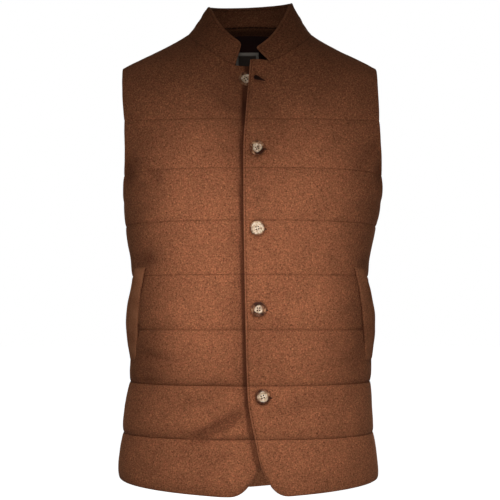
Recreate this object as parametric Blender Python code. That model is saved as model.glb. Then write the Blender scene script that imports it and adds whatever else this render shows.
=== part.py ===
"""Quilted body warmer in its worn, hollow form: two fronts, back, stand collar, side pockets, five buttons.

Metres, +Z up. The fronts face -Y and the wearer's left is +X.
The origin lies between the shoulders, just under the neck ends of the two shoulder seams.
"""

import math
from collections import namedtuple

import bmesh
import bpy
from mathutils import Matrix, Vector

# Cloth
SEAM_WALL = 0.0020  # wall thickness where a stitch line presses it flat
PUFF = 0.0028  # rise of the padding between two stitch lines
SEAM_PUFF = 0.8  # share of that rise left at the neck and shoulder seams
SIDE_PUFF = 0.5  # and at the armholes and side seams
SEAM_GAP = 0.0003
COLLAR_WALL = 0.0032

# Body form, read by height on smooth curves
ROUNDNESS = 2.3  # power of the rounded level sections
Section = namedtuple("Section", "height half_width front back sway")
SECTIONS = (  # half_width is at the side seam, above the underarm at the armhole's edge; sway is a shift in x
    Section(0.040, 0.1905, 0.086, 0.060, -0.0010),
    Section(0.012, 0.1905, 0.090, 0.068, -0.0010),
    Section(-0.047, 0.1915, 0.095, 0.096, -0.0008),
    Section(-0.092, 0.1890, 0.105, 0.112, 0.0005),
    Section(-0.145, 0.1886, 0.118, 0.122, 0.0032),
    Section(-0.195, 0.1893, 0.127, 0.126, 0.0045),
    Section(-0.250, 0.1920, 0.131, 0.124, 0.0034),
    Section(-0.286, 0.1885, 0.129, 0.118, 0.0012),
    Section(-0.335, 0.1790, 0.124, 0.110, 0.0000),
    Section(-0.430, 0.1778, 0.121, 0.108, 0.0010),
    Section(-0.502, 0.1800, 0.124, 0.116, 0.0008),
    Section(-0.550, 0.1832, 0.128, 0.124, -0.0020),
    Section(-0.620, 0.1908, 0.132, 0.130, -0.0028),
    Section(-0.660, 0.1942, 0.134, 0.133, -0.0020),
    Section(-0.700, 0.1942, 0.135, 0.134, -0.0020),
)
SWAY_X = (0.03, 0.17)  # the sway sets in over this stretch from the middle

# Shoulders
TIP_X = 0.1912  # shoulder point of the armhole
TIP_Z = -0.046
SHOULDER_SLOPE = 0.465
NECK_RISE_X = 0.140  # from here to the neck the shoulder line steepens
NECK_RISE = 1.75
NAPE_RISE_X = 0.100
NAPE_RISE = 10.0
SHOULDER_ROUND = 0.085  # drop over which the shoulder rounds out to the full depth

# Armholes, in a plane along the side
ARMHOLE_TOP = -0.047
ARMHOLE_FOOT = -0.250
FRONT_REACH = 0.57  # forward reach of the armhole as a share of the front's depth
BACK_REACH = 0.58
SIDE_TURN = math.radians(94)  # side seam, just behind the widest place

# Neck
NECK_HALF = 0.093
FRONT_NECK_Z = -0.0565
BACK_NECK_Z = 0.016
NECK_POWER = 1.38
BACK_NECK_POWER = 0.9
BACK_NECK_DIP = 1.6
LEFT_CORNER_LIFT = 0.0105  # rise of the fronts' top corners over the line of the neck seam
RIGHT_CORNER_LIFT = 0.0085

# Closure: the left front laps over the right one
Edges = namedtuple("Edges", "height left right")
EDGES = (  # x of the left front's edge and of the right front's edge under it
    Edges(-0.046, 0.0003, 0.0270),
    Edges(-0.100, -0.0039, 0.0270),
    Edges(-0.160, -0.0089, 0.0270),
    Edges(-0.200, -0.0094, 0.0275),
    Edges(-0.290, -0.0088, 0.0290),
    Edges(-0.400, -0.0070, 0.0320),
    Edges(-0.500, -0.0045, 0.0350),
    Edges(-0.545, -0.0018, 0.0340),
    Edges(-0.592, 0.0075, 0.0250),
    Edges(-0.622, 0.0140, 0.0168),
    Edges(-0.640, 0.0213, 0.0085),
    Edges(-0.6554, 0.0298, -0.0020),
)
TUCK = PUFF + SEAM_WALL + 0.0006  # how far the right front lies in under the left one
TOP_TUCK = 0.0104  # more at the neck, where the open top button lies between the fronts
TUCK_RUN = 0.034  # the right front eases in over this width
TUCK_END = 0.003  # and is all the way in this far before the left front's edge
TOP_TUCK_END = 0.020
TOP_TUCK_Z = (-0.130, -0.100)

# Hem
HEM_CORNER_Z = -0.6554  # end of the cutaway curve, where it turns into the hem
HEM_FRONT_Z = -0.6705
HEM_SIDE_Z = -0.6565
HEM_BACK_Z = -0.6920
HEM_ROUND = 0.030
HEM_LEVEL = 0.040  # the front's hem starts to rise to the side seam this far from the middle
HEM_RISE_POWER = 0.65

# Quilting: heights of the stitch lines from the hem up
Line = namedtuple("Line", "front side back")
LINES = (
    Line(-0.5905, -0.5880, -0.5920),
    Line(-0.5150, -0.5135, -0.5150),
    Line(-0.4360, -0.4390, -0.4370),
    Line(-0.3570, -0.3600, -0.3580),
    Line(-0.2800, -0.2870, -0.2810),
    Line(-0.2045, -0.2130, -0.2050),
    Line(-0.1330, -0.1320, -0.1310),
)
LINE_BEND = 2.5  # power by which a line's change of height gathers towards the side
TOP_LINE = len(LINES)
TOP = TOP_LINE + 1
TOP_EASE = 1.8  # power by which the top block's places ease in to the neck and shoulder seams
ROW_SHARES = (0.0, 0.14, 0.5, 0.86)
HEM_SHARES = (0.0, 0.07, 0.14, 0.3, 0.5, 0.7, 0.86)
ARMHOLE_LINE = 5  # the underarm lies between this line and the next
ARMHOLE_SHARES = (0.0, 0.14, 0.5, 0.62, 0.74, 0.87)
TOP_SHARES = (0.0, 0.07, 0.2, 0.35, 0.5, 0.65, 0.8, 0.92, 1.0)

# Columns of the panels, as shares of the way from the front edge, or from the back's middle, to the side
COLLAR_SHARE = 0.133  # the collar ends here
NECK_SHARE = 0.462  # and the neck meets the shoulder here
FRONT_STOPS = (
    *(0.0, 0.012, 0.035, 0.072),
    *(0.133, 0.188, 0.243, 0.298, 0.353, 0.408),
    *(0.462, 0.530, 0.600, 0.670, 0.740, 0.805, 0.870, 0.940, 1.0),
)
BACK_STOPS = (
    *(0.0, 0.065, 0.110, 0.158, 0.231, 0.308, 0.385),
    *(0.462, 0.530, 0.600, 0.670, 0.740, 0.805, 0.870, 0.940, 1.0),
)

# Collar
COLLAR_END = {1: 0.0286, -1: 0.0220}  # x of its ends on the neck seam, left and right
COLLAR_TOP_END = {1: 0.0060, -1: 0.0112}
COLLAR_TOP_HALF = 0.0632
COLLAR_TOP_FRONT_Y = -0.088
COLLAR_TOP_SIDE_Y = -0.008
COLLAR_TOP_BACK_Y = 0.050
COLLAR_TOP_END_Z = {1: -0.0260, -1: -0.0185}
COLLAR_TOP_SIDE_Z = 0.0495
COLLAR_TOP_BACK_Z = 0.0557
COLLAR_TOP_POWER = 2.2
COLLAR_BEHIND = 0.545  # share of its half that lies behind the shoulder seam
COLLAR_SINK = 0.0008  # depth of its outside below the panels' fullest form at the seam
COLLAR_TILT = 0.0030  # its left half stands this much higher
COLLAR_SAG = 0.0018  # hollow of its outside between the seam and the top edge
COLLAR_CORNER = 0.09  # share of its height that the front corners round off
COLLAR_CORNER_FROM = 0.9
COLLAR_SHARES = (0.0, 0.2, 0.42, 0.64, 0.84, 1.0)

# Pockets
WELT_TOP_Z = -0.346
WELT_FOOT_Z = -0.483
WELT_TURN = (math.radians(53.6), math.radians(63.0))  # its seam, at the top and at the foot
WELT_CURVE = 2.2
WELT_WIDTH = math.radians(10.3)
WELT_WALL = 0.0026
WELT_GAPE = 0.0094  # how far its free edge stands out just below its middle
WELT_DROOP = 1.1
WELT_LIFT = 0.0006

# Buttons
BUTTON_RADIUS = 0.0105
BUTTON_HEIGHT = 0.0036
BUTTON_DISH = 0.0010
HOLE_RADIUS = 0.0010
HOLE_SPREAD = 0.0017
Button = namedtuple("Button", "x z turn sink")
BUTTONS = (  # from the neck down, turn in degrees, sunk by a depth below the panel's fullest form
    Button(-0.0057, -0.0725, 35, TOP_TUCK),
    Button(0.0102, -0.1775, 25, 0.0002),
    Button(0.0103, -0.2912, 10, 0.0007),
    Button(0.0121, -0.4062, 42, 0.0000),
    Button(0.0179, -0.5298, 18, 0.0006),
)

# Inside
LINING_WALL = 0.0008
LINING_GAP = 0.0007
LABEL_X = (-0.0225, 0.0138)
LABEL_Z = (-0.0068, -0.0400)
LABEL_WALL = 0.0008
LABEL_LIFT = 0.0009

COLOURS = {
    "wool": (0.195, 0.070, 0.036),
    "lining": (0.022, 0.014, 0.012),
    "label": (0.110, 0.100, 0.095),
    "button": (0.420, 0.300, 0.200),
}


def mix(start, end, share):
    return start + (end - start) * share


def smooth(low, high, value):
    share = min(max((value - low) / (high - low), 0.0), 1.0)
    return share * share * (3 - 2 * share)


def read(table, height, column):
    """A column's value at a height, on a smooth curve through the table's rows, which run downwards."""
    height = min(max(height, table[-1].height), table[0].height)
    last = len(table) - 1
    row = next(i for i in range(last) if height >= table[i + 1].height)

    def slope(i):
        above = table[max(i - 1, 0)]
        below = table[min(i + 1, last)]
        return (getattr(above, column) - getattr(below, column)) / (above.height - below.height)

    start, end = table[row], table[row + 1]
    span = end.height - start.height
    t = (height - start.height) / span
    return (
        getattr(start, column) * (1 + 2 * t) * (1 - t) ** 2
        + slope(row) * span * t * (1 - t) ** 2
        + getattr(end, column) * t * t * (3 - 2 * t)
        + slope(row + 1) * span * t * t * (t - 1)
    )


def rest_of(share):
    """The other coordinate of the rounded unit section, given one of them."""
    return max(1 - min(abs(share), 1.0) ** ROUNDNESS, 0.0) ** (1 / ROUNDNESS)


def ridge(x):
    """Height of the shoulder line, which the two faces of the body meet on."""
    x = abs(x)
    slope = TIP_Z + SHOULDER_SLOPE * (TIP_X - x)
    return slope + NECK_RISE * max(0.0, NECK_RISE_X - x) ** 2 + NAPE_RISE * max(0.0, NAPE_RISE_X - x) ** 2


def rounding(x, z):
    """Share of the full depth at a place: a quarter ellipse down from the shoulder line."""
    drop = min(max((ridge(x) - z) / SHOULDER_ROUND, 0.0), 1.0)
    return math.sqrt(1 - (1 - drop) ** 2)


def armhole(z):
    """How wide the armhole is open at a height: 0 at its foot, 1 from halfway up to the shoulder."""
    half = (ARMHOLE_TOP - ARMHOLE_FOOT) / 2
    return rest_of(min((z - ARMHOLE_FOOT) / half - 1, 0.0))


def extent(z, face):
    """Half width and depth of the full section whose outer part the armhole cuts away."""
    reach = armhole(z) * (FRONT_REACH if face == "front" else BACK_REACH)
    return read(SECTIONS, z, "half_width") / rest_of(reach), read(SECTIONS, z, face)


def on_face(x, z, face):
    """The point of the front or back face at a place seen from the front."""
    width, depth = extent(z, face)
    y = depth * rest_of(x / width) * rounding(x, z)
    return Vector((x, -y if face == "front" else y, z))


def around(turn, z):
    """The point at an angle from the front's middle, 180 degrees at the back's middle."""
    face = "front" if abs(turn) < math.pi / 2 else "back"
    width, depth = extent(z, face)
    across, along = math.sin(turn), math.cos(turn)
    size = (abs(across) ** ROUNDNESS + abs(along) ** ROUNDNESS) ** (1 / ROUNDNESS)
    x = width * across / size
    return Vector((x, -depth * along / size * rounding(x, z), z))


def edge_turn(z, face):
    """Angle of a panel's outer edge from its own middle: the side seam, or the armhole above it."""
    reach = armhole(z) * (FRONT_REACH if face == "front" else BACK_REACH)
    seam = SIDE_TURN if face == "front" else math.pi - SIDE_TURN
    return math.atan2(rest_of(reach), reach) + (seam - math.pi / 2) * (1 - armhole(z))


def neck_height(x):
    share = min(abs(x) / NECK_HALF, 1.0) ** (1 / NECK_POWER)
    return mix(ridge(NECK_HALF), FRONT_NECK_Z, (1 - share * share) ** (NECK_POWER / 2))


def opening_edge(side, z):
    """Distance of a front's edge from the middle, towards its own side."""
    return read(EDGES, z, "left") if side > 0 else -read(EDGES, z, "right")


def front_hem(side, turn):
    """Height of a front's hem: a rounded corner, a level stretch, and a rise to the side seam."""
    x = around(turn, HEM_SIDE_Z).x
    from_corner = max(x - opening_edge(side, HEM_CORNER_Z), 0.0)
    corner = (HEM_CORNER_Z - HEM_FRONT_Z) * max(1 - from_corner / HEM_ROUND, 0.0) ** 2.5
    out = min(max((x - HEM_LEVEL) / (SECTIONS[-1].half_width - HEM_LEVEL), 0.0), 1.0)
    return mix(HEM_SIDE_Z, HEM_FRONT_Z, (1 - out) ** HEM_RISE_POWER) + corner


def front_line(side, line, u):
    """Height of a stitch line at a share u of the way from the front edge to the side."""
    if line == 0:
        start = math.asin(opening_edge(side, HEM_CORNER_Z) / SECTIONS[-1].half_width)
        return front_hem(side, mix(start, SIDE_TURN, u))
    return mix(LINES[line - 1].front, LINES[line - 1].side, u**LINE_BEND)


def front_top(side, u):
    """Place on a front's top edge: beside the collar, along the neck, then along the shoulder."""
    end = COLLAR_END[side]
    if u <= COLLAR_SHARE:
        rest = 1 - u / COLLAR_SHARE
        x = mix(end, opening_edge(side, ARMHOLE_TOP), rest)
        lift = LEFT_CORNER_LIFT * rest * (2 - rest) if side > 0 else RIGHT_CORNER_LIFT * rest
        return x, neck_height(x) + lift
    if u <= NECK_SHARE:
        start = math.asin((end / NECK_HALF) ** (1 / NECK_POWER))
        turn = mix(start, math.pi / 2, (u - COLLAR_SHARE) / (NECK_SHARE - COLLAR_SHARE))
        x = NECK_HALF * math.sin(turn) ** NECK_POWER
        return x, neck_height(x)
    x = mix(NECK_HALF, TIP_X, (u - NECK_SHARE) / (1 - NECK_SHARE))
    return x, ridge(x)


def front_block(side, u, line, share):
    """A point of a front between two of its stitch lines."""
    z = mix(front_line(side, line, u), front_line(side, line + 1, u), share)
    width, _ = extent(z, "front")
    middle = opening_edge(side, z) / width
    start = math.atan2(middle, rest_of(middle))
    turn = mix(start, SIDE_TURN, u) - (SIDE_TURN - edge_turn(z, "front")) * u * u
    return around(turn, z)


def top_block(foot, top, share, face):
    """A point of the top block, from its foot on the last stitch line to its place on the top edge."""
    ease = 1 - (1 - share) ** TOP_EASE
    return on_face(mix(foot.x, top[0], ease), mix(foot.z, top[1], ease), face)


def front_form(side, u, v):
    """The front's smooth form: u runs from its edge to the side, v counts stitch lines up from the hem."""
    line = min(int(v), TOP_LINE)
    if line < TOP_LINE:
        point = front_block(side, u, line, v - line)
    else:
        foot = front_block(side, u, TOP_LINE - 1, 1.0)
        point = top_block(foot, front_top(side, u), v - line, "front")
    return Vector((side * point.x, point.y, point.z))


def back_top(u):
    if u <= NECK_SHARE:
        turn = math.pi / 2 * u / NECK_SHARE
        x = NECK_HALF * math.sin(turn) ** BACK_NECK_POWER
        return x, mix(ridge(NECK_HALF), BACK_NECK_Z, math.cos(turn) ** BACK_NECK_DIP)
    x = mix(NECK_HALF, TIP_X, (u - NECK_SHARE) / (1 - NECK_SHARE))
    return x, ridge(x)


def back_line(line, u):
    if line == 0:
        return mix(HEM_BACK_Z, HEM_SIDE_Z, smooth(-0.15, 1.0, u))
    return mix(LINES[line - 1].back, LINES[line - 1].side, u**LINE_BEND)


def back_block(u, line, share):
    z = mix(back_line(line, u), back_line(line + 1, u), share)
    seam = math.pi - SIDE_TURN
    turn = seam * u - (seam - edge_turn(z, "back")) * u * u
    return around(math.pi - turn, z)


def back_form(side, u, v):
    """The back's smooth form, its left half for side 1: u runs from the middle to the side seam."""
    line = min(int(v), TOP_LINE)
    if line < TOP_LINE:
        point = back_block(u, line, v - line)
    else:
        point = top_block(back_block(u, TOP_LINE - 1, 1.0), back_top(u), v - line, "back")
    return Vector((side * point.x, point.y, point.z))


def swayed(point):
    """The point moved sideways with the body's slight lean."""
    shift = read(SECTIONS, point.z, "sway") * smooth(*SWAY_X, abs(point.x))
    return point + Vector((shift, 0, 0))


def bulk(point, face):
    """A value that is 1 on the body's surface and grows outwards."""
    width, depth = extent(point.z, face)
    across, drop = point.x / width, (ridge(point.x) - point.z) / SHOULDER_ROUND
    if drop < 1:
        return (point.y / depth / rest_of(across)) ** 2 + (1 - drop) ** 2
    return abs(across) ** ROUNDNESS + abs(point.y / depth) ** ROUNDNESS


def facing(point, face):
    """The body's outward normal at a point of its surface."""
    step = 0.0002
    steps = [Vector(axis) * step for axis in ((1, 0, 0), (0, 1, 0), (0, 0, 1))]
    return Vector([bulk(point + each, face) - bulk(point - each, face) for each in steps]).normalized()


def puff(u, v):
    """Share of the padding's rise: none at the stitch lines and edges, all of it between them."""
    line = min(int(v), TOP_LINE)
    share = v - line
    if line < TOP_LINE:
        rise = math.sqrt(max(4 * share * (1 - share), 0.0))
    else:
        rise = min(math.sqrt(share / 0.2), 1.0) * mix(SEAM_PUFF, 1.0, smooth(0.0, 0.15, 1 - share))
    return rise * mix(SIDE_PUFF, 1.0, min(math.sqrt(max(1 - u, 0.0) / 0.06), 1.0))


def front_layer(side, u, v, depth):
    """A point of a front, a depth in from its fullest form, with the right front eased in under the left."""
    point = front_form(side, u, v)
    normal = facing(point, "front" if point.y <= 0 else "back")
    tuck = 0.0
    if side < 0:
        at_neck = smooth(*TOP_TUCK_Z, point.z)
        end = read(EDGES, point.z, "left") - mix(TUCK_END, TOP_TUCK_END, at_neck)
        tuck = mix(TUCK, TOP_TUCK, at_neck) * smooth(end - TUCK_RUN, end, point.x)
    point -= normal * (depth + tuck)
    if u == 1 or v == TOP:
        point.y -= SEAM_GAP / 2
    return swayed(point)


def front_depth(u, v):
    edge = min(math.sqrt(u / 0.05), 1.0)
    return PUFF * (1 - puff(u, v) * edge)


def back_layer(side, u, v, depth):
    point = back_form(side, u, v)
    point -= facing(point, "back") * depth
    if u == 1 or v == TOP:
        point.y += SEAM_GAP / 2
    return swayed(point)


def row_stops():
    stops = []
    for line in range(TOP_LINE):
        shares = {0: HEM_SHARES, ARMHOLE_LINE: ARMHOLE_SHARES}.get(line, ROW_SHARES)
        stops += [line + share for share in shares]
    return stops + [TOP_LINE + share for share in TOP_SHARES]


def material(name, roughness=0.9):
    made = bpy.data.materials.new(name)
    made.use_nodes = True
    shader = made.node_tree.nodes["Principled BSDF"]
    shader.inputs["Base Color"].default_value = (*COLOURS[name], 1)
    shader.inputs["Roughness"].default_value = roughness
    shader.inputs["Metallic"].default_value = 0
    return made


def piece(name, shape, finish):
    bmesh.ops.recalc_face_normals(shape, faces=shape.faces)
    if shape.calc_volume(signed=True) < 0:
        bmesh.ops.reverse_faces(shape, faces=shape.faces)
    mesh = bpy.data.meshes.new(name)
    shape.to_mesh(mesh)
    shape.free()
    mesh.shade_smooth()
    mesh.set_sharp_from_angle(angle=math.radians(40))
    mesh.materials.append(finish)
    made = bpy.data.objects.new(name, mesh)
    bpy.context.collection.objects.link(made)
    return made


def wall(name, columns, rows, outer, inner, finish):
    """A closed wall on a grid of stops: one face placed by outer, the other by inner, joined round the rim."""
    shape = bmesh.new()
    across, up = len(columns) - 1, len(rows) - 1
    bmesh.ops.create_grid(shape, x_segments=across, y_segments=up, size=0.5)
    doubled = bmesh.ops.extrude_face_region(shape, geom=shape.faces[:], use_keep_orig=True)
    inside = {part for part in doubled["geom"] if isinstance(part, bmesh.types.BMVert)}
    for corner in shape.verts:
        column = columns[round((corner.co.x + 0.5) * across)]
        row = rows[round((corner.co.y + 0.5) * up)]
        corner.co = (inner if corner in inside else outer)(column, row)
    return piece(name, shape, finish)


def fronts(finish):
    for name, side in (("front_left", 1), ("front_right", -1)):
        wall(
            name,
            FRONT_STOPS,
            row_stops(),
            lambda u, v: front_layer(side, u, v, front_depth(u, v)),
            lambda u, v: front_layer(side, u, v, PUFF + SEAM_WALL),
            finish,
        )


def across_back(u):
    return (1, u) if u >= 0 else (-1, -u)


def back_columns():
    return [-u for u in reversed(BACK_STOPS[1:])] + list(BACK_STOPS)


def back(finish):
    wall(
        "back",
        back_columns(),
        row_stops(),
        lambda u, v: back_layer(*across_back(u), v, PUFF * (1 - puff(abs(u), v))),
        lambda u, v: back_layer(*across_back(u), v, PUFF + SEAM_WALL),
        finish,
    )


def back_lining(finish):
    """The lining lies inside the back on some of the back's own rows, and stops above the hem's facing."""
    rows = [0.5 * i for i in range(1, 2 * TOP_LINE)] + [TOP_LINE + share for share in TOP_SHARES]
    start = PUFF + SEAM_WALL + LINING_GAP
    wall(
        "back_lining",
        back_columns(),
        rows,
        lambda u, v: back_layer(*across_back(u), v, start),
        lambda u, v: back_layer(*across_back(u), v, start + LINING_WALL),
        finish,
    )


def neck_stops():
    """Places round the neck seam, from the collar's right end over the back to its left end."""
    behind = [("back", u) for u in back_columns() if abs(u) <= NECK_SHARE]
    before = [u for u in FRONT_STOPS if COLLAR_SHARE <= u < NECK_SHARE]
    right = [("right", u) for u in before]
    left = [("left", u) for u in reversed(before)]
    return right + behind + left


def neck_point(stop, depth):
    panel, u = stop
    if panel == "back":
        return back_layer(*across_back(u), TOP, depth)
    return front_layer(1 if panel == "left" else -1, u, TOP, depth)


def collar_share(stop):
    """How far round the collar a place lies: -1 at its right end, 0 behind, 1 at its left end."""
    panel, u = stop
    if panel == "back":
        return COLLAR_BEHIND * u / NECK_SHARE
    share = mix(COLLAR_BEHIND, 1.0, (NECK_SHARE - u) / (NECK_SHARE - COLLAR_SHARE))
    return share if panel == "left" else -share


def collar_rim(share):
    """The collar's top edge at a share of the way round."""
    side = 1 if share > 0 else -1
    end = math.pi - math.asin(COLLAR_TOP_END[side] / COLLAR_TOP_HALF)
    turn = abs(share) * end
    across, along = math.sin(turn), math.cos(turn)
    if along > 0:
        y = mix(COLLAR_TOP_SIDE_Y, COLLAR_TOP_BACK_Y, along)
        z = mix(COLLAR_TOP_SIDE_Z, COLLAR_TOP_BACK_Z, along)
    else:
        y = mix(COLLAR_TOP_SIDE_Y, COLLAR_TOP_FRONT_Y, -along)
        z = mix(COLLAR_TOP_END_Z[side], COLLAR_TOP_SIDE_Z, across**COLLAR_TOP_POWER)
    return Vector((side * COLLAR_TOP_HALF * across, y, z + side * COLLAR_TILT * across))


def collar(finish):
    """A stand on the neck seam's own points, leaning in to its top edge, its front corners rounded."""
    stops = neck_stops()
    count = len(stops) - 1
    outer_seam = [neck_point(stop, COLLAR_SINK) for stop in stops]
    inner_seam = [neck_point(stop, COLLAR_SINK + COLLAR_WALL) for stop in stops]

    def base(i):
        before, after = max(i - 1, 0), min(i + 1, count)
        along = (outer_seam[after] - outer_seam[before]).normalized()
        through = (outer_seam[i] - inner_seam[i]).normalized()
        over = along.cross(through).normalized()
        if over.dot(collar_rim(collar_share(stops[i])) - outer_seam[i]) < 0:
            over = -over
        return outer_seam[i] + over * SEAM_GAP, inner_seam[i] + over * SEAM_GAP

    def place(i, height, inside):
        share = collar_share(stops[i])
        start_outer, start_inner = base(i)
        rim = collar_rim(share)
        rounded = max(abs(share) - COLLAR_CORNER_FROM, 0) / (1 - COLLAR_CORNER_FROM)
        height = height * (1 - COLLAR_CORNER * rounded**2)
        centre = Vector((0, mix(COLLAR_TOP_FRONT_Y, COLLAR_TOP_BACK_Y, 0.5), rim.z))
        inward = (centre - rim).normalized()
        if inside:
            rim = rim + inward * COLLAR_WALL
        start = start_inner if inside else start_outer
        sag = COLLAR_SAG * 4 * height * (1 - height)
        return start.lerp(rim, height) + inward * sag

    wall(
        "collar",
        range(count + 1),
        COLLAR_SHARES,
        lambda i, height: place(i, height, False),
        lambda i, height: place(i, height, True),
        finish,
    )


def pocket_welts(finish):
    """Strips sewn along their front edge, whose free edge gapes towards the side."""

    def place(side, across, down, depth):
        z = mix(WELT_TOP_Z, WELT_FOOT_Z, down)
        seam = mix(*WELT_TURN, 1 - (1 - down) ** WELT_CURVE)
        point = around(seam + WELT_WIDTH * across, z)
        gape = WELT_GAPE * math.sin(math.pi * down**WELT_DROOP) * across**1.2
        point += facing(point, "front") * (WELT_LIFT + gape + depth)
        return swayed(Vector((side * point.x, point.y, point.z)))

    across = [i / 3 for i in range(4)]
    down = [i / 16 for i in range(17)]
    for name, side in (("pocket_welt_left", 1), ("pocket_welt_right", -1)):
        wall(
            name,
            across,
            down,
            lambda u, v: place(side, u, v, WELT_WALL),
            lambda u, v: place(side, u, v, 0.0),
            finish,
        )


def seat(x, z, depth):
    """A matrix on the front's face with its Z axis outwards, sunk by a depth."""
    point = on_face(x, z, "front")
    normal = facing(point, "front")
    across = Vector((0, 0, 1)).cross(normal).normalized()
    turned = Matrix((across, normal.cross(across), normal)).transposed()
    return Matrix.Translation(point - normal * depth) @ turned.to_4x4()


def button_mesh():
    """A turned disc with a raised rim and a dished middle."""
    radius, height, dish = BUTTON_RADIUS, BUTTON_HEIGHT, BUTTON_DISH
    profile = (
        (0.0, 0.0),
        (radius * 0.72, 0.0),
        (radius, height * 0.48),
        (radius * 0.95, height * 0.84),
        (radius * 0.84, height),
        (radius * 0.64, height - dish),
        (0.0, height - dish),
    )
    shape = bmesh.new()
    corners = [shape.verts.new((x, 0, z)) for x, z in profile]
    edges = [shape.edges.new(pair) for pair in zip(corners, corners[1:])]
    bmesh.ops.spin(
        shape,
        geom=corners + edges,
        axis=(0, 0, 1),
        cent=(0, 0, 0),
        angle=math.tau,
        steps=20,
        use_merge=True,
    )
    bmesh.ops.remove_doubles(shape, verts=shape.verts, dist=1e-6)
    return shape


def hole_cutter():
    shape = bmesh.new()
    for across in (-HOLE_SPREAD, HOLE_SPREAD):
        for along in (-HOLE_SPREAD, HOLE_SPREAD):
            bmesh.ops.create_cone(
                shape,
                cap_ends=True,
                segments=6,
                radius1=HOLE_RADIUS,
                radius2=HOLE_RADIUS,
                depth=4 * BUTTON_HEIGHT,
                matrix=Matrix.Translation((across, along, 0)),
            )
    return shape


def buttons(finish):
    for number, row in enumerate(BUTTONS, 1):
        place = seat(row.x, row.z, row.sink - SEAM_GAP) @ Matrix.Rotation(math.radians(row.turn), 4, "Z")
        disc = piece(f"button_{number}", button_mesh(), finish)
        cutter = piece(f"holes_{number}", hole_cutter(), finish)
        cutter.hide_render = True
        cutter.display_type = "WIRE"
        disc.matrix_world = place
        cutter.matrix_world = place
        cut = disc.modifiers.new("four holes", "BOOLEAN")
        cut.operation = "DIFFERENCE"
        cut.object = cutter


def neck_label(finish):
    """A plain label on the lining, under the middle of the neck seam."""
    start = PUFF + SEAM_WALL + LINING_GAP + LINING_WALL + LABEL_LIFT

    def place(across, down, depth):
        point = on_face(mix(*LABEL_X, across), mix(*LABEL_Z, down), "back")
        return point - facing(point, "back") * (start + depth)

    stops = [i / 3 for i in range(4)]
    wall(
        "neck_label",
        stops,
        stops,
        lambda u, v: place(u, v, 0.0),
        lambda u, v: place(u, v, LABEL_WALL),
        finish,
    )


def build():
    for old in list(bpy.data.objects):
        bpy.data.objects.remove(old)
    wool = material("wool")
    fronts(wool)
    back(wool)
    collar(wool)
    pocket_welts(wool)
    buttons(material("button", 0.3))
    back_lining(material("lining", 0.6))
    neck_label(material("label", 0.8))


build()
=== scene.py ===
import math
from types import SimpleNamespace

import bmesh
import bpy
import numpy as np
from mathutils import Matrix, Vector


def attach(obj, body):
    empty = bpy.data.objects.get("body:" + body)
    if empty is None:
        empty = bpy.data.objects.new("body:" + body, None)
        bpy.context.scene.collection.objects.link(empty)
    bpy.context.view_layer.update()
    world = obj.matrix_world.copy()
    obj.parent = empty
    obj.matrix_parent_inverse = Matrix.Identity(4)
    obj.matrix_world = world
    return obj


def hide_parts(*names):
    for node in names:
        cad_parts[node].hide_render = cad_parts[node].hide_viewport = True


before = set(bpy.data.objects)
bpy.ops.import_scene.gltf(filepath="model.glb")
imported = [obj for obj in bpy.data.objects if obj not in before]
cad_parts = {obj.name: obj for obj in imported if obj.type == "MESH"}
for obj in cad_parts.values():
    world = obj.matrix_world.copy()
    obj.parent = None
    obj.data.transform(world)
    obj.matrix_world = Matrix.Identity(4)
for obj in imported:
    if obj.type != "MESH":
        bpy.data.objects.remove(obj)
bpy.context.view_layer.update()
print("frame loaded:", len(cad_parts), "nodes")


def mix(start, end, share):
    return start + (end - start) * share


def smooth(low, high, value):
    share = np.clip((value - low) / (high - low), 0, 1)
    return share * share * (3 - 2 * share)


def bell(value, width):
    return np.exp(-(value / width) ** 2)


def unevenness(x, y, size, seed):  # soft random waves in two directions, about -1 to 1, size in metres
    rng = np.random.RandomState(seed)
    waves, total = 7, 0
    for i in range(waves):
        turn, phase, stretch = rng.uniform(0, math.pi), rng.uniform(0, math.tau), rng.uniform(0.7, 1.5)
        along = x * math.cos(turn) + y * math.sin(turn)
        total = total + np.sin(math.tau * along / (size * stretch) + phase)
    return total / 3.2


def linear(hexColour):  # sRGB hex to the linear values that shaders take
    parts = [int(hexColour[i:i + 2], 16) / 255 for i in (1, 3, 5)]
    return [c / 12.92 if c <= 0.04045 else ((c + 0.055) / 1.055) ** 2.4 for c in parts] + [1]


# the body's form, as the maker's pattern gives it; heights in metres from the shoulders down

body = {
    "roundness": 2.3,
    "sections": [  # height, half width at the side, depth of the front, depth of the back, sway
        (0.040, 0.1905, 0.086, 0.060, -0.0010),
        (0.012, 0.1905, 0.090, 0.068, -0.0010),
        (-0.047, 0.1915, 0.095, 0.096, -0.0008),
        (-0.092, 0.1890, 0.105, 0.112, 0.0005),
        (-0.145, 0.1886, 0.118, 0.122, 0.0032),
        (-0.195, 0.1893, 0.127, 0.126, 0.0045),
        (-0.250, 0.1920, 0.131, 0.124, 0.0034),
        (-0.286, 0.1885, 0.129, 0.118, 0.0012),
        (-0.335, 0.1790, 0.124, 0.110, 0.0000),
        (-0.430, 0.1778, 0.121, 0.108, 0.0010),
        (-0.502, 0.1800, 0.124, 0.116, 0.0008),
        (-0.550, 0.1832, 0.128, 0.124, -0.0020),
        (-0.620, 0.1908, 0.132, 0.130, -0.0028),
        (-0.660, 0.1942, 0.134, 0.133, -0.0020),
        (-0.700, 0.1942, 0.135, 0.134, -0.0020),
    ],
    "swayFrom": 0.03,
    "swayTo": 0.17,
    "sideTurn": math.radians(94),
}

shoulder = {
    "tipX": 0.1912,
    "tipZ": -0.046,
    "slope": 0.465,
    "neckRiseX": 0.140,
    "neckRise": 1.75,
    "napeRiseX": 0.100,
    "napeRise": 10.0,
    "round": 0.085,
}

armholeCut = {"top": -0.047, "foot": -0.250, "frontReach": 0.57, "backReach": 0.58}

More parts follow.
